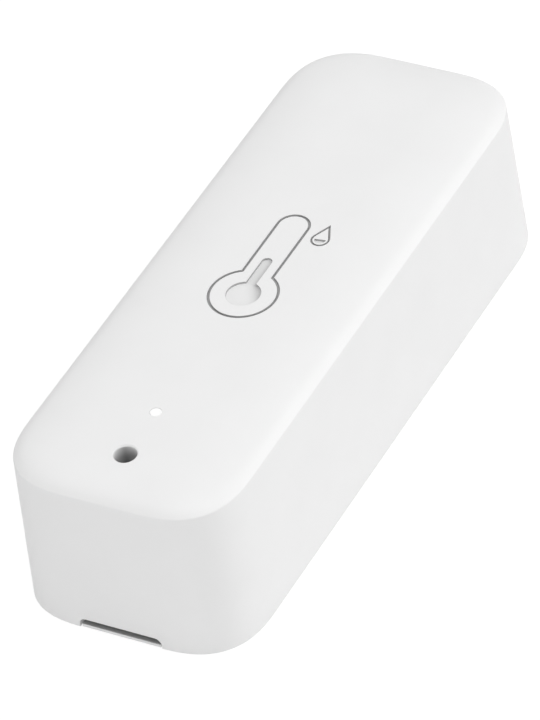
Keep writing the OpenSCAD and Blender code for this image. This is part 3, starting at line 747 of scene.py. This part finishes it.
def structureTool():
    bm = bmesh.new()
    boss, foot, top = inside["bossRadius"], inside["bossFoot"], ceilingZ
    bitten = top + inside["bite"]
    profile = [(boss - 0.1, boardTop), (boss, boardTop + 0.1)]
    profile += [(boss + foot * (1 - cos(a)), top - foot + foot * sin(a)) for a in (0, 0.4, 0.8, 1.2, 1.5)]
    profile += [(boss + foot, bitten)]
    for x, y in screwPlaces:
        addTurned(bm, profile, (x, y, 0))
    guide, guideZ = openings["holeRadius"] + openings["guideThick"], top - openings["guideDeep"]
    addTurned(bm, [(guide - 0.1, guideZ), (guide, guideZ + 0.1), (guide, bitten)], holeCentre)
    peg = inside["pegRadius"]
    profile = [(peg - 0.2, boardLow.z + 0.02), (peg, boardLow.z + 0.22), (peg, bitten)]
    for x, share in inside["pegs"]:
        addTurned(bm, profile, (x, bayFront + cellLength * share, 0), steps=40)
    low, reach, high = inside["ledgeLow"], inside["ledgeReach"], inside["ledgeLow"] + inside["ledgeHeight"]
    wallLow, wallHigh = halfW(low) - housing["wall"], halfW(high) - housing["wall"]
    ledge = [(wallLow + inside["bite"], low - 0.02), (wallLow - 0.02, low), (wallHigh - reach, low + reach),
             (wallHigh - reach, high), (wallHigh + inside["bite"], high)]
    for side in (-1, 1):
        for ends in armEnds:
            addStrip(bm, [(side * x, z) for x, z in ledge], ends)
    return meshPiece("structureTool", bm, "case_white")


def screwBores():
    bm = bmesh.new()
    r, mouth = inside["boreRadius"], inside["boreMouth"]
    profile = [(r + mouth, boardTop - 1), (r + mouth, boardTop), (r, boardTop + mouth)]
    profile += [(r, boardTop + inside["boreDeep"])]
    for x, y in screwPlaces:
        addTurned(bm, profile, (x, y, 0), steps=40)
    return meshPiece("screwBores", bm, "case_white")


def makeHousing():
    finish["skinWhite"] = finish["case_white"].copy()
    finish["skinWhite"].name = "caseWhiteSkin"
    bm = bmesh.new()
    addRings(bm, outerRings())
    shell = meshPiece("housing_shell", bm, "skinWhite")
    combine(shell, innerTool(), "DIFFERENCE")
    combine(shell, structureTool(), "UNION")
    combine(shell, screwBores(), "DIFFERENCE")
    combine(shell, openingCutter(), "DIFFERENCE")
    combine(shell, pictogramCutter(), "DIFFERENCE")
    placePiece(shell, "housing", "case_white", "top_housing")
    mesh = shell.data
    skinIndex = [m.name for m in mesh.materials].index("caseWhiteSkin")
    normals = [Vector()] * len(mesh.loops)  # a zero vector keeps the loop's own normal
    for polygon in mesh.polygons:
        if polygon.material_index == skinIndex and polygon.normal.z > -0.2:  # not the underside of the rim
            for loop in polygon.loop_indices:
                point = mesh.vertices[mesh.loops[loop].vertex_index].co / mm
                normals[loop] = skinNormal(point)
    mesh.normals_split_custom_set(normals)
    print("housing made:", len(mesh.polygons), "faces")


makeHousing()


# Back cover

def coverOutline(z, inset):
    return levelOutline(z, housing["wall"] + cover["gap"] + inset, cover["steps"])


def skirtTool():
    bm = bmesh.new()
    low, high = cover["thick"] - 0.2, cover["thick"] + cover["skirtHigh"]
    soft, thick = cover["skirtSoft"], cover["skirtThick"]
    outer = [(0, low), (0, high - soft), (soft * 0.3, high - soft * 0.3), (soft, high)]
    inner = [(thick - inset, z) for inset, z in outer[::-1]]
    addRings(bm, [flat(coverOutline(high, inset), z) for inset, z in outer + inner], closed=True)
    return meshPiece("skirtTool", bm)


def restTool():
    bm = bmesh.new()
    low, high = cover["thick"] - 0.1, cover["thick"] + cover["restHigh"]
    for middle in (-cellX, cellX):
        x = middle - cellRadius / 2
        for share in cover["restShares"]:
            y = bayFront + cellLength * share
            addBlock(bm, (x, y, low), (x + cellRadius, y + cover["restWide"], high), 0.08)
    addBlock(bm, (-tabHalf, coverLow.y, 0), (tabHalf, coverLow.y + cover["tabLong"], cover["tabThick"]), 0.06)
    return meshPiece("restTool", bm)


def coverCutter():
    bm = bmesh.new()
    front = coverLow.y + housing["wall"]
    channel = (-tabHalf, front - 1.5, cover["tabThick"])
    addBlock(bm, channel, (tabHalf, front + cover["channelDeep"], bodyH), 0.1)
    room = cover["armRoom"]
    for side in (-1, 1):
        left, right = sorted((side * (armX - cover["armThick"] - room), side * bodyW / 2))
        for start, end in armEnds:
            addBlock(bm, (left, start - room, cover["thick"]), (right, end + room, bodyH))
    return meshPiece("coverCutter", bm)


def makeBackCover():
    bm = bmesh.new()
    soft, thick = cover["soften"], cover["thick"]
    levels = [(soft, 0), (soft * 0.3, soft * 0.3), (0, soft), (0, thick)]
    addRings(bm, [flat(coverOutline(thick, inset), z) for inset, z in levels])
    piece = meshPiece("cover_moulding", bm, "cover_white")
    combine(piece, skirtTool(), "UNION")
    combine(piece, restTool(), "UNION")
    combine(piece, coverCutter(), "DIFFERENCE")
    front, inwards = coverLow.y, (0, 1, 0)
    # Painted shade on the channel floor behind the slot, darkest 0.9 mm in, then painted paler again from 1.0
    # to 2.0 mm in
    paintedShade("channelGrey", way=inwards, span=(front, front + 0.9), greys=(0.44, 0.17),
           lift=(inwards, front, (1.0, 2.0), 0.62))
    piece.data.materials.append(finish["channelGrey"])
    deep = front + housing["wall"] + cover["channelDeep"]
    for face in piece.data.polygons:  # the sunk channel behind the slot gets the painted shade
        if face.normal.z > 0.9 and abs(face.center.z - cover["tabThick"]) < 0.01 and face.center.y < deep:
            face.material_index = len(piece.data.materials) - 1
    placePiece(piece, "back", "cover_white", "back_cover")


def makeClipArms():
    bm = bmesh.new()
    low, high = cover["thick"] - 0.05, armsHigh.z
    barb = high - cover["barbHigh"]
    inner = armX - cover["armThick"]
    section = [(inner, low), (armX, low), (armX, barb), (armsHigh.x, barb),
               (armsHigh.x, barb + cover["barbHigh"] / 4), (armX, high), (inner, high)]
    for side in (-1, 1):
        for ends in armEnds:
            soften(bm, addStrip(bm, [(side * x, z) for x, z in section], ends), 0.07)
    placePiece(meshPiece("clip_arms", bm, "cover_white"), "back", "cover_white", "snap_arms")


makeBackCover()
makeClipArms()
print("back cover made")


# Light pipe, status light and reset switch

signals = {
    "pipeFlangeRadius": 1.3,
    "pipeFlangeThick": 0.5,
    "pipeGap": 0.02,  # under the top wall
    "ledBase": 0.4,  # share of the status light's height
    "ledCap": 0.2,  # share of its length that each end pad takes
    "legWide": 0.7,
    "legThick": 0.12,
    "legHigh": 0.6,
    "lidCorner": 0.4,
    "rivetRadius": 0.22,
    "plungerRadius": 1.05,
    "plungerRim": 0.12,
    "plungerPlay": 0.07,
    "flangeRoom": 0.27,  # from the plunger's flange up to the lid
}
lidLow, lidHigh = nodeBox("switch_cover")
flangeRadius = (plungerHigh.x - plungerLow.x) / 2


def makeLightPipe():
    bm = bmesh.new()
    r, low, high = openings["lightRadius"], lightLow.z, lightHigh.z
    wide, ceiling = signals["pipeFlangeRadius"], ceilingZ - signals["pipeGap"]
    step = ceiling - signals["pipeFlangeThick"]
    profile = [(r - 0.08, low), (r, low + 0.08), (r, step), (wide - 0.06, step), (wide, step + 0.06)]
    profile += [(wide, ceiling - 0.06), (wide - 0.06, ceiling), (r, ceiling)]
    profile += [(r, high - 0.03), (r - 0.03, high)]
    addTurned(bm, profile, (0, lightY, 0), steps=56)
    placePiece(meshPiece("light_guide", bm, "light_guide"), "housing", "light_guide", "light_pipe")


def addChip(bm, low, high, capShare, swell=0.03):
    # A chip between two wrapped metal ends, along X
    low, high = Vector(low), Vector(high)
    cap = (high.x - low.x) * capShare
    addBlock(bm, low + Vector((cap * 0.6, swell, swell)), high - Vector((cap * 0.6, swell, swell)), 0.04, 0)
    addBlock(bm, low, (low.x + cap, high.y, high.z), 0.06, 1)
    addBlock(bm, (high.x - cap, low.y, low.z), high, 0.06, 1)


def makeStatusLight():
    bm = bmesh.new()
    low, high = nodeBox("status_led")
    base = (high.z - low.z) * signals["ledBase"]
    end = (high.x - low.x) * signals["ledCap"]
    addChip(bm, low, (high.x, high.y, low.z + base), signals["ledCap"], 0.0)
    lens = (low.x + end, low.y + 0.05, low.z + base - 0.02)
    addBlock(bm, lens, (high.x - end, high.y - 0.05, high.z), 0.08, 2)
    piece = meshPiece("status_light", bm, "chipWhite", "antenna_gold", "led_yellow")
    placePiece(piece, "housing", "led_yellow", "status_led")


def makeSwitchHousing():
    low, high = nodeBox("switch_body")
    bm = bmesh.new()
    addBlock(bm, low, high, 0.12)
    body = meshPiece("switch_housing", bm, "switch_black")
    bore = flangeRadius + signals["plungerPlay"]
    bm = bored(body, [(bore, low.z + 0.3), (bore, high.z + 1)], holeCentre)
    wide, thick, knee = signals["legWide"] / 2, signals["legThick"], signals["legHigh"]
    leg = [(-0.2, knee), (0.16, knee), (0.2, thick), (0.75, thick), (0.75, 0.01), (0.08, 0.01),
           (0.04, knee - thick), (-0.2, knee - thick)]
    for side in (-1, 1):
        for y in (low.y + wide + 0.35, high.y - wide - 0.35):
            section = [(side * (high.x + out), low.z + up) for out, up in leg]
            soften(bm, addStrip(bm, section, (y - wide, y + wide), 1), 0.03)
    body = meshPiece("switch_housing", bm, "switch_black", "contact_nickel")
    placePiece(body, "housing", "switch_black", "switch_body")


def makeSwitchLid():
    half, top = (lidHigh.x - lidLow.x) / 2, lidHigh.z
    bm = bmesh.new()
    faces = addSlab(bm, plainOutline(half, half, signals["lidCorner"], 8, 0, holeY), (lidLow.z, top))
    soften(bm, faces[-2:], 0.05)
    lid = meshPiece("switch_lid", bm, "steel_sheet")
    bore = signals["plungerRadius"] + signals["plungerPlay"]
    rim = [(bore, lidLow.z - 1), (bore, top - 0.06), (bore + 0.02, top - 0.02), (bore + 0.06, top),
           (bore + 0.06, top + 1)]
    bm = bored(lid, rim, holeCentre)
    r = signals["rivetRadius"]
    rivet = [(r, top - 0.05), (r, top + 0.03), (r * 0.8, top + 0.07), (r * 0.3, top + 0.09)]
    for x in (-1, 1):
        for y in (-1, 1):
            addTurned(bm, rivet, (x * (half - 0.55), holeY + y * (half - 0.55), 0), steps=20)
    placePiece(meshPiece("switch_lid", bm, "steel_sheet"), "housing", "steel_sheet", "switch_cover")


def makePlunger():
    bm = bmesh.new()
    r, soft, flange = signals["plungerRadius"], signals["plungerRim"], flangeRadius
    low, step, top = plungerLow.z, lidLow.z - signals["flangeRoom"], plungerHigh.z
    profile = [(flange - 0.05, low), (flange, low + 0.05), (flange, step - 0.05), (flange - 0.05, step)]
    profile += [(r, step), (r, top - soft)]
    profile += [(r - soft * (1 - cos(a)), top - soft * (1 - sin(a))) for a in (0.4, 0.8, 1.2)]
    profile += [(r - soft, top), (r * 0.55, top - 0.01), (r * 0.3, top - 0.04)]
    addTurned(bm, profile, holeCentre, steps=56)
    placePiece(meshPiece("reset_plunger", bm, "plunger"), "reset_button", "switch_black", "switch_plunger")


makeLightPipe()
makeStatusLight()
makeSwitchHousing()
makeSwitchLid()
makePlunger()
print("light and switch made")


# Cells, contacts and springs

cells = {
    "buttonRadius": 1.9,
    "buttonHigh": 1.0,
    "jacketThick": 0.05,
    "jacketLap": 0.35,  # how far the printed jacket stops short of the ends
    "bandShare": 0.24,  # share of the jacket in the lighter colour, at the positive end
}


def addCell(bm, x, flatY, way):
    # way is +1 if the button points to the back and -1 if it points to the front
    r, button, lap = cellRadius, cells["buttonRadius"], cells["jacketLap"]
    can = cellLength - cells["buttonHigh"]
    band = can - lap - (can - 2 * lap) * cells["bandShare"]
    steel = [(0.4, 0.1), (2.9, 0.1), (3.1, 0.0), (3.9, 0.0), (4.1, 0.14), (r - 0.55, 0.18), (r - 0.3, 0.1),
             (r - 0.12, 0.22), (r - 0.06, 0.45), (r - 0.06, can - 0.4), (r - 0.2, can - 0.1), (r - 0.5, can),
             (r - 0.9, can - 0.02), (r - 1.05, can - 0.25)]
    seal = [(r - 1.03, can - 0.3), (r - 1.1, can - 0.12)]
    seal += [(button + 0.5, can - 0.1), (button + 0.3, can - 0.3)]
    knob = [(button + 0.35, can - 0.32), (button + 0.1, can - 0.22), (button, can - 0.1),
            (button, cellLength - 0.25), (button - 0.08, cellLength - 0.07), (button - 0.25, cellLength),
            (0.4, cellLength)]
    jacket = [(r - 0.28, lap - 0.17), (r - 0.1, lap - 0.13), (r, lap), (r, band), (r, band), (r, can - lap),
              (r - 0.1, can - lap + 0.13), (r - 0.28, can - lap + 0.17)]
    jacket += [(radius - cells["jacketThick"], distance) for radius, distance in jacket[::-1]]

    def addPart(profile, **settings):
        placed = [(radius, flatY + way * distance) for radius, distance in profile]
        return addTurned(bm, placed, (x, 0, cellZ), "y", **settings)

    addPart(steel)
    addPart(seal, material=1)
    addPart(knob)
    for face in addPart(jacket, steps=96, material=2, closed=True):
        if way * (face.calc_center_median().y - flatY) > band:
            face.material_index = 3


def makeCells():
    places = {"cell_left": (-cellX, leftCellLow.y, 1), "cell_right": (cellX, rightCellHigh.y, -1)}
    for node, place in places.items():
        bm = bmesh.new()
        addCell(bm, *place)
        piece = meshPiece("aaa_" + node, bm, "contact_nickel", "chip_black", "cell_jacket", "cellBand")
        placePiece(piece, "housing", "cell_jacket", node)


contacts = {
    "plateCorner": 0.8,
    "tabWide": 2.0,
    "tabCorner": 0.3,
    "soften": 0.06,
    "wire": 0.45,
    "baseRadius": 3.0,
    "tipRadius": 1.8,
    "turns": 2.5,
    "turnSteps": 34,
    "flatShare": 0.12,  # share of the wire that lies flat at each end
}


def addContact(bm, low, high, tabTop):
    # Pressed plate in the XZ plane with rounded corners, and the solder tab of one that has it
    x, _, z = middleOf(low, high)
    plate = plainOutline((high.x - low.x) / 2, (high.z - low.z) / 2, contacts["plateCorner"], 8, x, z)
    faces = addStrip(bm, plate, (low.y, high.y))
    soften(bm, faces[-2:], contacts["soften"])
    if tabTop:
        half, corner, shoulder = contacts["tabWide"] / 2, contacts["tabCorner"], tabTop - 0.5
        tab = [(-half, z), (half, z), (half, shoulder), (half - corner, tabTop), (corner - half, tabTop),
               (-half, shoulder)]
        faces = addStrip(bm, [(x + u, v) for u, v in tab], (low.y + 0.005, high.y - 0.005))
        soften(bm, faces[-2:], contacts["soften"])


def makeContacts():
    for node in ("positive_contact", "negative_contact", "bridge_contact"):
        low, high = nodeBox(node)
        bm = bmesh.new()
        if node == "bridge_contact":
            addContact(bm, low, high, None)
        else:  # a square plate, and the tab above it up to the board
            addContact(bm, low, Vector((high.x, high.y, low.z + high.x - low.x)), high.z)
        piece = meshPiece(node.replace("contact", "plate"), bm, "contact_nickel")
        placePiece(piece, "housing", "contact_nickel", node)


def makeSprings():
    wire, still = contacts["wire"] / 2, contacts["flatShare"]
    count = int(contacts["turns"] * contacts["turnSteps"])
    for node, x, way in (("negative_spring", -cellX, 1), ("bridge_spring", cellX, -1)):
        low, high = nodeBox(node)
        base, tip = (low.y, high.y) if way == 1 else (high.y, low.y)
        path = []
        for k in range(count + 1):
            share = k / count
            a = 2 * pi * k / contacts["turnSteps"]
            rise = min(max((share - still) / (1 - 2 * still), 0), 1)
            rise = rise * (1 - still) + share * still
            radius = contacts["baseRadius"] + (contacts["tipRadius"] - contacts["baseRadius"]) * share
            y = base + way * wire + (tip - base - 2 * way * wire) * rise
            path.append(Vector((x + radius * cos(a), y, cellZ - way * radius * sin(a))))
        bm = bmesh.new()
        addTube(bm, path, wire, 14)
        piece = meshPiece(node.replace("spring", "coil"), bm, "contact_nickel")
        placePiece(piece, "housing", "contact_nickel", node, angle=50)


makeCells()
makeContacts()
makeSprings()
print("cells and contacts made")


# Circuit board and what stands on it

electronics = {
    "padThick": 0.035,
    "padReach": 0.25,  # copper that shows past a part's end
    "filletReach": 0.45,
    "filletHigh": 0.42,
    "castellationPitch": 1.27,
    "castellationRadius": 0.3,
    "chipPad": (0.22, 0.14),  # half sizes of the climate chip's pads
    "chipPads": 4,  # on each side
    "legWide": 0.45,
    "passiveCap": 0.22,  # share of a chip's length in each metal end
    "capacitorInset": 0.12,
    "terminalDeep": 0.14,
    "terminalFoot": 0.8,
    "crystalBase": 0.4,  # share of its height
    "crystalLip": 0.12,
    "regulatorInset": 0.26,  # share of its size in y that the front legs take
    "sensorHole": 0.2,  # radius, as a share of the climate chip's side
    "canCorner": 0.6,
    "canDimple": 0.3,
    "canSoft": 0.18,
}


def addPad(bm, low, high, top, material=0):
    # Copper pad on the board's top (top=True) or underside
    z = boardTop if top else boardLow.z
    thick = electronics["padThick"]
    ends = (z - 0.01, z + thick) if top else (z - thick, z + 0.01)
    addBlock(bm, (low[0], low[1], ends[0]), (high[0], high[1], ends[1]), 0.01, material)


def addSolderCone(bm, low, high):
    # Fillet of solder that climbs a contact's tab on top of the board
    x, y, _ = middleOf(low, high)
    halfX, halfY = contacts["tabWide"] / 2, (high.y - low.y) / 2
    rings = []
    for share, grow in ((0, 1.0), (0.25, 0.62), (0.6, 0.3), (1.0, 0.12)):
        reach = electronics["filletReach"] * grow
        outline = plainOutline(halfX + reach, halfY + reach, min(halfY + reach, 0.5) * 0.98, 6, x, y)
        rings.append(flat(outline, boardTop - 0.01 + share * electronics["filletHigh"]))
    addRings(bm, rings)


def passiveBoxes():
    # The eight small parts stand in two rows of four
    low, high = nodeBox("chip_passives")
    length = (high.x - low.x) / 7
    boxes = []
    for y in (low.y, high.y - length / 2):
        for k in range(4):
            corner = Vector((low.x + 2 * length * k, y, low.z))
            boxes.append((corner, corner + Vector((length, length / 2, high.z - low.z))))
    return boxes


def makeBoardMetal():
    bm = bmesh.new()
    reach = electronics["padReach"]
    padded = [(nodeBox(node), 0.3, 0.08) for node in ("status_led", "bulk_capacitor", "crystal")]
    padded += [(box, 0.28, 0.06) for box in passiveBoxes()]
    for (low, high), share, past in padded:
        inner = (high.x - low.x) * share
        addPad(bm, (low.x - reach, low.y - past), (low.x + inner, high.y + past), True)
        addPad(bm, (high.x - inner, low.y - past), (high.x + reach, high.y + past), True)
    for node in ("positive_contact", "negative_contact"):
        addSolderCone(bm, *nodeBox(node))
    low, high = nodeBox("sensor_chip")
    w, l = electronics["chipPad"]
    for x in (low.x, high.x):
        for k in range(electronics["chipPads"]):
            y = low.y + (high.y - low.y) * (k + 0.5) / electronics["chipPads"]
            addPad(bm, (x - w, y - l), (x + w, y + l), False)
    low, high = nodeBox("radio_board")
    pitch, r = electronics["castellationPitch"], electronics["castellationRadius"]
    profile = [(r + 0.12, high.z - 0.02), (r, high.z - 0.2), (r * 0.8, low.z + 0.1), (r * 0.8, low.z - 0.03)]
    for x in (low.x + 0.12, high.x - 0.12):
        for k in range(int((high.y - low.y - pitch) / pitch)):
            addTurned(bm, profile, (x, high.y - pitch * (k + 0.9), 0), steps=16)
    placePiece(meshPiece("solder_and_pads", bm, "solder"), "housing", "contact_nickel")


def makePassives():
    bm = bmesh.new()
    for low, high in passiveBoxes():
        addChip(bm, low + Vector((0, 0, 0.03)), high, electronics["passiveCap"])
    piece = meshPiece("chip_parts", bm, "ceramic_tan", "solder")
    placePiece(piece, "housing", "ceramic_tan", "chip_passives")


def makeCapacitor():
    low, high = nodeBox("bulk_capacitor")
    bm = bmesh.new()
    inset = electronics["capacitorInset"]
    addBlock(bm, (low.x + inset, low.y + 0.1, low.z + inset), (high.x - inset, high.y - 0.1, high.z), 0.14, 0)
    base, tall = low.z + 0.03, low.z + (high.z - low.z) * 0.55
    for x, way in ((low.x, 1), (high.x, -1)):
        left, right = sorted((x, x + way * electronics["terminalDeep"]))
        addBlock(bm, (left, low.y + 0.5, base), (right, high.y - 0.5, tall), 0.04, 1)
        left, right = sorted((x, x + way * electronics["terminalFoot"]))
        addBlock(bm, (left, low.y + 0.5, base), (right, high.y - 0.5, low.z + 0.15), 0.03, 1)
    band = (low.x + 0.11, low.y + 0.09, low.z + 0.3)
    addBlock(bm, band, (low.x + 0.55, high.y - 0.09, high.z + 0.01), 0.13, 2)
    piece = meshPiece("tank_capacitor", bm, "capacitor_tan", "solder", "capacitorBand")
    placePiece(piece, "housing", "capacitor_tan", "bulk_capacitor")


def makeCrystal():
    low, high = nodeBox("crystal")
    bm = bmesh.new()
    split = low.z + (high.z - low.z) * electronics["crystalBase"]
    lip = electronics["crystalLip"]
    addBlock(bm, (low.x, low.y, low.z + 0.03), (high.x, high.y, split), 0.05, 1)
    x, y, _ = middleOf(low, high)
    lid = plainOutline((high.x - low.x) / 2 - lip, (high.y - low.y) / 2 - lip, 0.3, 6, x, y)
    soften(bm, addSlab(bm, lid, (split - 0.02, high.z))[-1:], 0.08)
    piece = meshPiece("crystal_can", bm, "steel_sheet", "ceramic_tan")
    placePiece(piece, "housing", "steel_sheet", "crystal")


def scaled(points, share):
    x = sum(p[0] for p in points) / len(points)
    y = sum(p[1] for p in points) / len(points)
    return [(x + (u - x) * share, y + (v - y) * share) for u, v in points]


def makeRegulator():
    low, high = nodeBox("voltage_regulator")
    bm = bmesh.new()
    inset = (high.y - low.y) * electronics["regulatorInset"]
    base = low.z + 0.12
    front, back = low.y + inset, high.y - inset * 0.4
    block = [(low.x, front), (high.x, front), (high.x, back), (low.x, back)]
    halfway = base + (high.z - base) * 0.5
    rings = [flat(scaled(block, 0.94), base), flat(block, halfway), flat(scaled(block, 0.93), high.z)]
    soften(bm, addRings(bm, rings)[-1:], 0.05)
    wide = electronics["legWide"] / 2
    for place in (-1, 0, 1):  # the middle leg stands at the back
        x = (low.x + high.x) / 2 + place * (high.x - low.x) / 3
        y, end, way = (low.y + inset, low.y, -1) if place else (high.y - inset * 0.5, high.y, 1)
        reach = abs(end - y)
        leg = [(0.0, 0.42), (0.28, 0.42), (0.38, 0.3), (0.4, 0.12), (reach, 0.12)]
        leg += [(reach, 0.02), (0.32, 0.02), (0.28, 0.1), (0.26, 0.3), (0.0, 0.3)]
        ends = [[(side, y + way * out, low.z + up) for out, up in leg] for side in (x - wide, x + wide)]
        soften(bm, addRings(bm, ends, 1), 0.02)
    piece = meshPiece("regulator", bm, "chip_black", "solder")
    placePiece(piece, "housing", "chip_black", "voltage_regulator")


def makeClimateChip():
    low, high = nodeBox("sensor_chip")
    bm = bmesh.new()
    addBlock(bm, low, (high.x, high.y, high.z - 0.02), 0.06)
    chip = meshPiece("climate_chip", bm, "chip_black", "membrane")
    x, y, _ = middleOf(low, high)
    hole, tall = (high.x - low.x) * electronics["sensorHole"], high.z - low.z
    profile = [(hole + 0.08, low.z - 1), (hole + 0.08, low.z), (hole, low.z + 0.08), (hole, low.z + tall / 2)]
    bm = bored(chip, profile, (x, y, 0), 40)
    depth = low.z + tall * 0.3
    addTurned(bm, [(hole + 0.02, depth), (hole + 0.02, depth + 0.05)], (x, y, 0), steps=40, material=1)
    chip = meshPiece("climate_chip", bm, "chip_black", "membrane")
    placePiece(chip, "housing", "chip_black", "sensor_chip")


def makeShieldCan():
    low, high = nodeBox("radio_can")
    bm = bmesh.new()
    x, y, _ = middleOf(low, high)
    halfX, halfY = (high.x - low.x) / 2, (high.y - low.y) / 2
    shape = plainOutline(halfX, halfY, electronics["canCorner"], 8, x, y)
    soften(bm, addSlab(bm, shape, (low.z, high.z))[-2:-1], electronics["canSoft"], 3)
    r = electronics["canDimple"]
    dimple = [(r, low.z + 0.05), (r, low.z - 0.015), (r * 0.7, low.z - 0.03), (r * 0.2, low.z - 0.035)]
    for u in (-0.5, 0.5):
        for v in (-0.5, 0.5):
            addTurned(bm, dimple, (x + halfX * u, y + halfY * v, 0), steps=24)
    placePiece(meshPiece("shield_can", bm, "steel_sheet"), "housing", "steel_sheet", "radio_can")


def threadRing(x, y, z, end):
    # Ring of a screw's thread at a height, on a shaft that narrows to a point at its end
    s = screws
    narrowing = s["pointShare"] + (1 - s["pointShare"]) * min(1, (end - z) / s["pointLong"])
    ring = []
    for i in range(s["steps"]):
        a = 2 * pi * i / s["steps"]
        phase = (z / s["pitch"] - a / (2 * pi)) % 1
        crest = max(0, 1 - abs(phase - 0.5) / s["crestHalf"])
        r = (s["coreRadius"] + (s["threadRadius"] - s["coreRadius"]) * crest) * narrowing
        ring.append((x + r * cos(a), y + r * sin(a), z))
    return ring


def makeScrews():
    bm = bmesh.new()
    low, high = screwsLow.z, screwsHigh.z
    headTop = low + screws["headHigh"]
    rows = int((high - headTop) / screws["rowHigh"])
    profile = [(headRadius * share, low + up) for share, up in screws["dome"]]
    profile += [(headRadius, headTop - 0.06), (headRadius - 0.06, headTop), (screws["coreRadius"], headTop)]
    for x, y in screwPlaces:
        rings = turn(profile, (x, y, 0), steps=screws["steps"])
        rings += [threadRing(x, y, headTop + k * (high - headTop) / rows, high) for k in range(1, rows + 1)]
        addRings(bm, rings)
    piece = meshPiece("pan_screws", bm, "screwSteel")
    bm = bmesh.new()
    long, wide = screws["crossLong"], screws["crossWide"]
    plus = []
    for k in range(4):  # each arm is the one before after a quarter turn
        arm = [(-v, u) for u, v in arm] if k else [(long, -wide), (long, wide), (wide, wide)]
        plus += arm
    for x, y in screwPlaces:
        addSlab(bm, [(x + u, y + v) for u, v in plus], (low - 1, low + screws["crossDeep"]))
    combine(piece, meshPiece("crossTool", bm), "DIFFERENCE")
    placePiece(piece, "housing", "steel_sheet", "tray_screws", angle=40)


makeBoardMetal()
makePassives()
makeCapacitor()
makeCrystal()
makeRegulator()
makeClimateChip()
makeShieldCan()
makeScrews()
print("electronics and screws made")


# Stage, light and camera

studio = {
    "floorSize": 6.0,  # metres
    "floorDrop": 0.00002,
    "paper": 0.9,  # what the light that bounces meets
    "paperFaint": 0.2,  # what the camera sees: a little of this, for the shadow, and a glow
    "paperGlow": 0.86,
    "world": 0.3,
    "lamps": {  # name: (azimuth, elevation, distance, size, power), azimuth 0 is the front, 90 the right
        "overhead": (0, 88, 0.9, 0.7, 2.964),
        "frontLeft": (315, 12, 0.9, 0.35, 1.31),
        "frontRight": (45, 35, 0.9, 0.6, 1.875),
        "right": (90, 35, 0.9, 0.6, 0.45),
        "backRight": (135, 35, 0.9, 0.6, 2.875),
        "backLeft": (225, 35, 0.9, 0.6, 0.485),
    },
}


def grey(level):
    return (level, level, level, 1)


def makeFloor():
    bm = bmesh.new()
    half, z = studio["floorSize"] / 2, -studio["floorDrop"]
    corners = ((-half, -half), (half, -half), (half, half), (-half, half))
    bm.faces.new([bm.verts.new((x, y, z)) for x, y in corners])
    material, tree, shader = newMaterial("paperFloor")
    tree.nodes.remove(shader)
    paper = addNode(tree, "ShaderNodeBsdfDiffuse", {"Color": grey(studio["paper"])})
    faint = addNode(tree, "ShaderNodeBsdfDiffuse", {"Color": grey(studio["paperFaint"])})
    glow = addNode(tree, "ShaderNodeEmission", {"Color": grey(1), "Strength": studio["paperGlow"]})
    sheet = addNode(tree, "ShaderNodeAddShader", {0: faint.outputs[0], 1: glow.outputs[0]})
    path = addNode(tree, "ShaderNodeLightPath", {}).outputs
    either = calculate(tree, "MAXIMUM", path["Is Camera Ray"], path["Is Glossy Ray"])
    seen = calculate(tree, "MAXIMUM", either, path["Is Transmission Ray"])
    choose = addNode(tree, "ShaderNodeMixShader", {0: seen, 1: paper.outputs[0], 2: sheet.outputs[0]})
    feed(tree, tree.nodes["Material Output"].inputs["Surface"], choose.outputs[0])
    finish["paperFloor"] = material
    meshPiece("floor", bm, "paperFloor")


def direction(azimuth, elevation):
    a, e = radians(azimuth), radians(elevation)
    return Vector((sin(a) * cos(e), -cos(a) * cos(e), sin(e)))


def holdUp(name, data, location, rotation):
    holder = bpy.data.objects.new(name, data)
    holder.location = location
    holder.rotation_mode = "QUATERNION"
    holder.rotation_quaternion = rotation
    bpy.context.scene.collection.objects.link(holder)
    return holder


def makeLight():
    world = bpy.data.worlds.new("studio")
    world.use_nodes = True
    background = world.node_tree.nodes["Background"]
    background.inputs["Color"].default_value = grey(1)
    background.inputs["Strength"].default_value = studio["world"]
    bpy.context.scene.world = world
    for name, (azimuth, elevation, distance, size, power) in studio["lamps"].items():
        lamp = bpy.data.lights.new(name, "AREA")
        lamp.shape = "DISK"
        lamp.size = size
        lamp.energy = power
        towards = direction(azimuth, elevation)
        holdUp(name, lamp, towards * distance, towards.to_track_quat("Z", "Y"))


view = {
    "aim": (0.939, -3.202, 9.039),  # the point in the middle of the picture, in millimetres
    "azimuth": 33.421,
    "elevation": 40.728,
    "roll": -9.388,
    "distance": 567.63,
    "lens": 288.83,
    "sensor": 36.0,
}


def makeCamera():
    camera = bpy.data.cameras.new("camera")
    camera.lens = view["lens"]
    camera.sensor_width = view["sensor"]
    camera.clip_start = 0.01
    camera.clip_end = 20
    back = direction(view["azimuth"], view["elevation"])
    roll = Quaternion((0, 0, 1), radians(view["roll"]))
    place = (Vector(view["aim"]) + back * view["distance"]) * mm
    bpy.context.scene.camera = holdUp("camera", camera, place, (-back).to_track_quat("-Z", "Y") @ roll)


makeFloor()
makeLight()
makeCamera()
for name, node in frame["nodes"].items():
    if name in slotOfNode and not node.hide_render:
        node.data.materials.clear()
        node.data.materials.append(finish[slotOfNode[name]])
bpy.context.scene.view_settings.view_transform = "Standard"
print("stage ready")
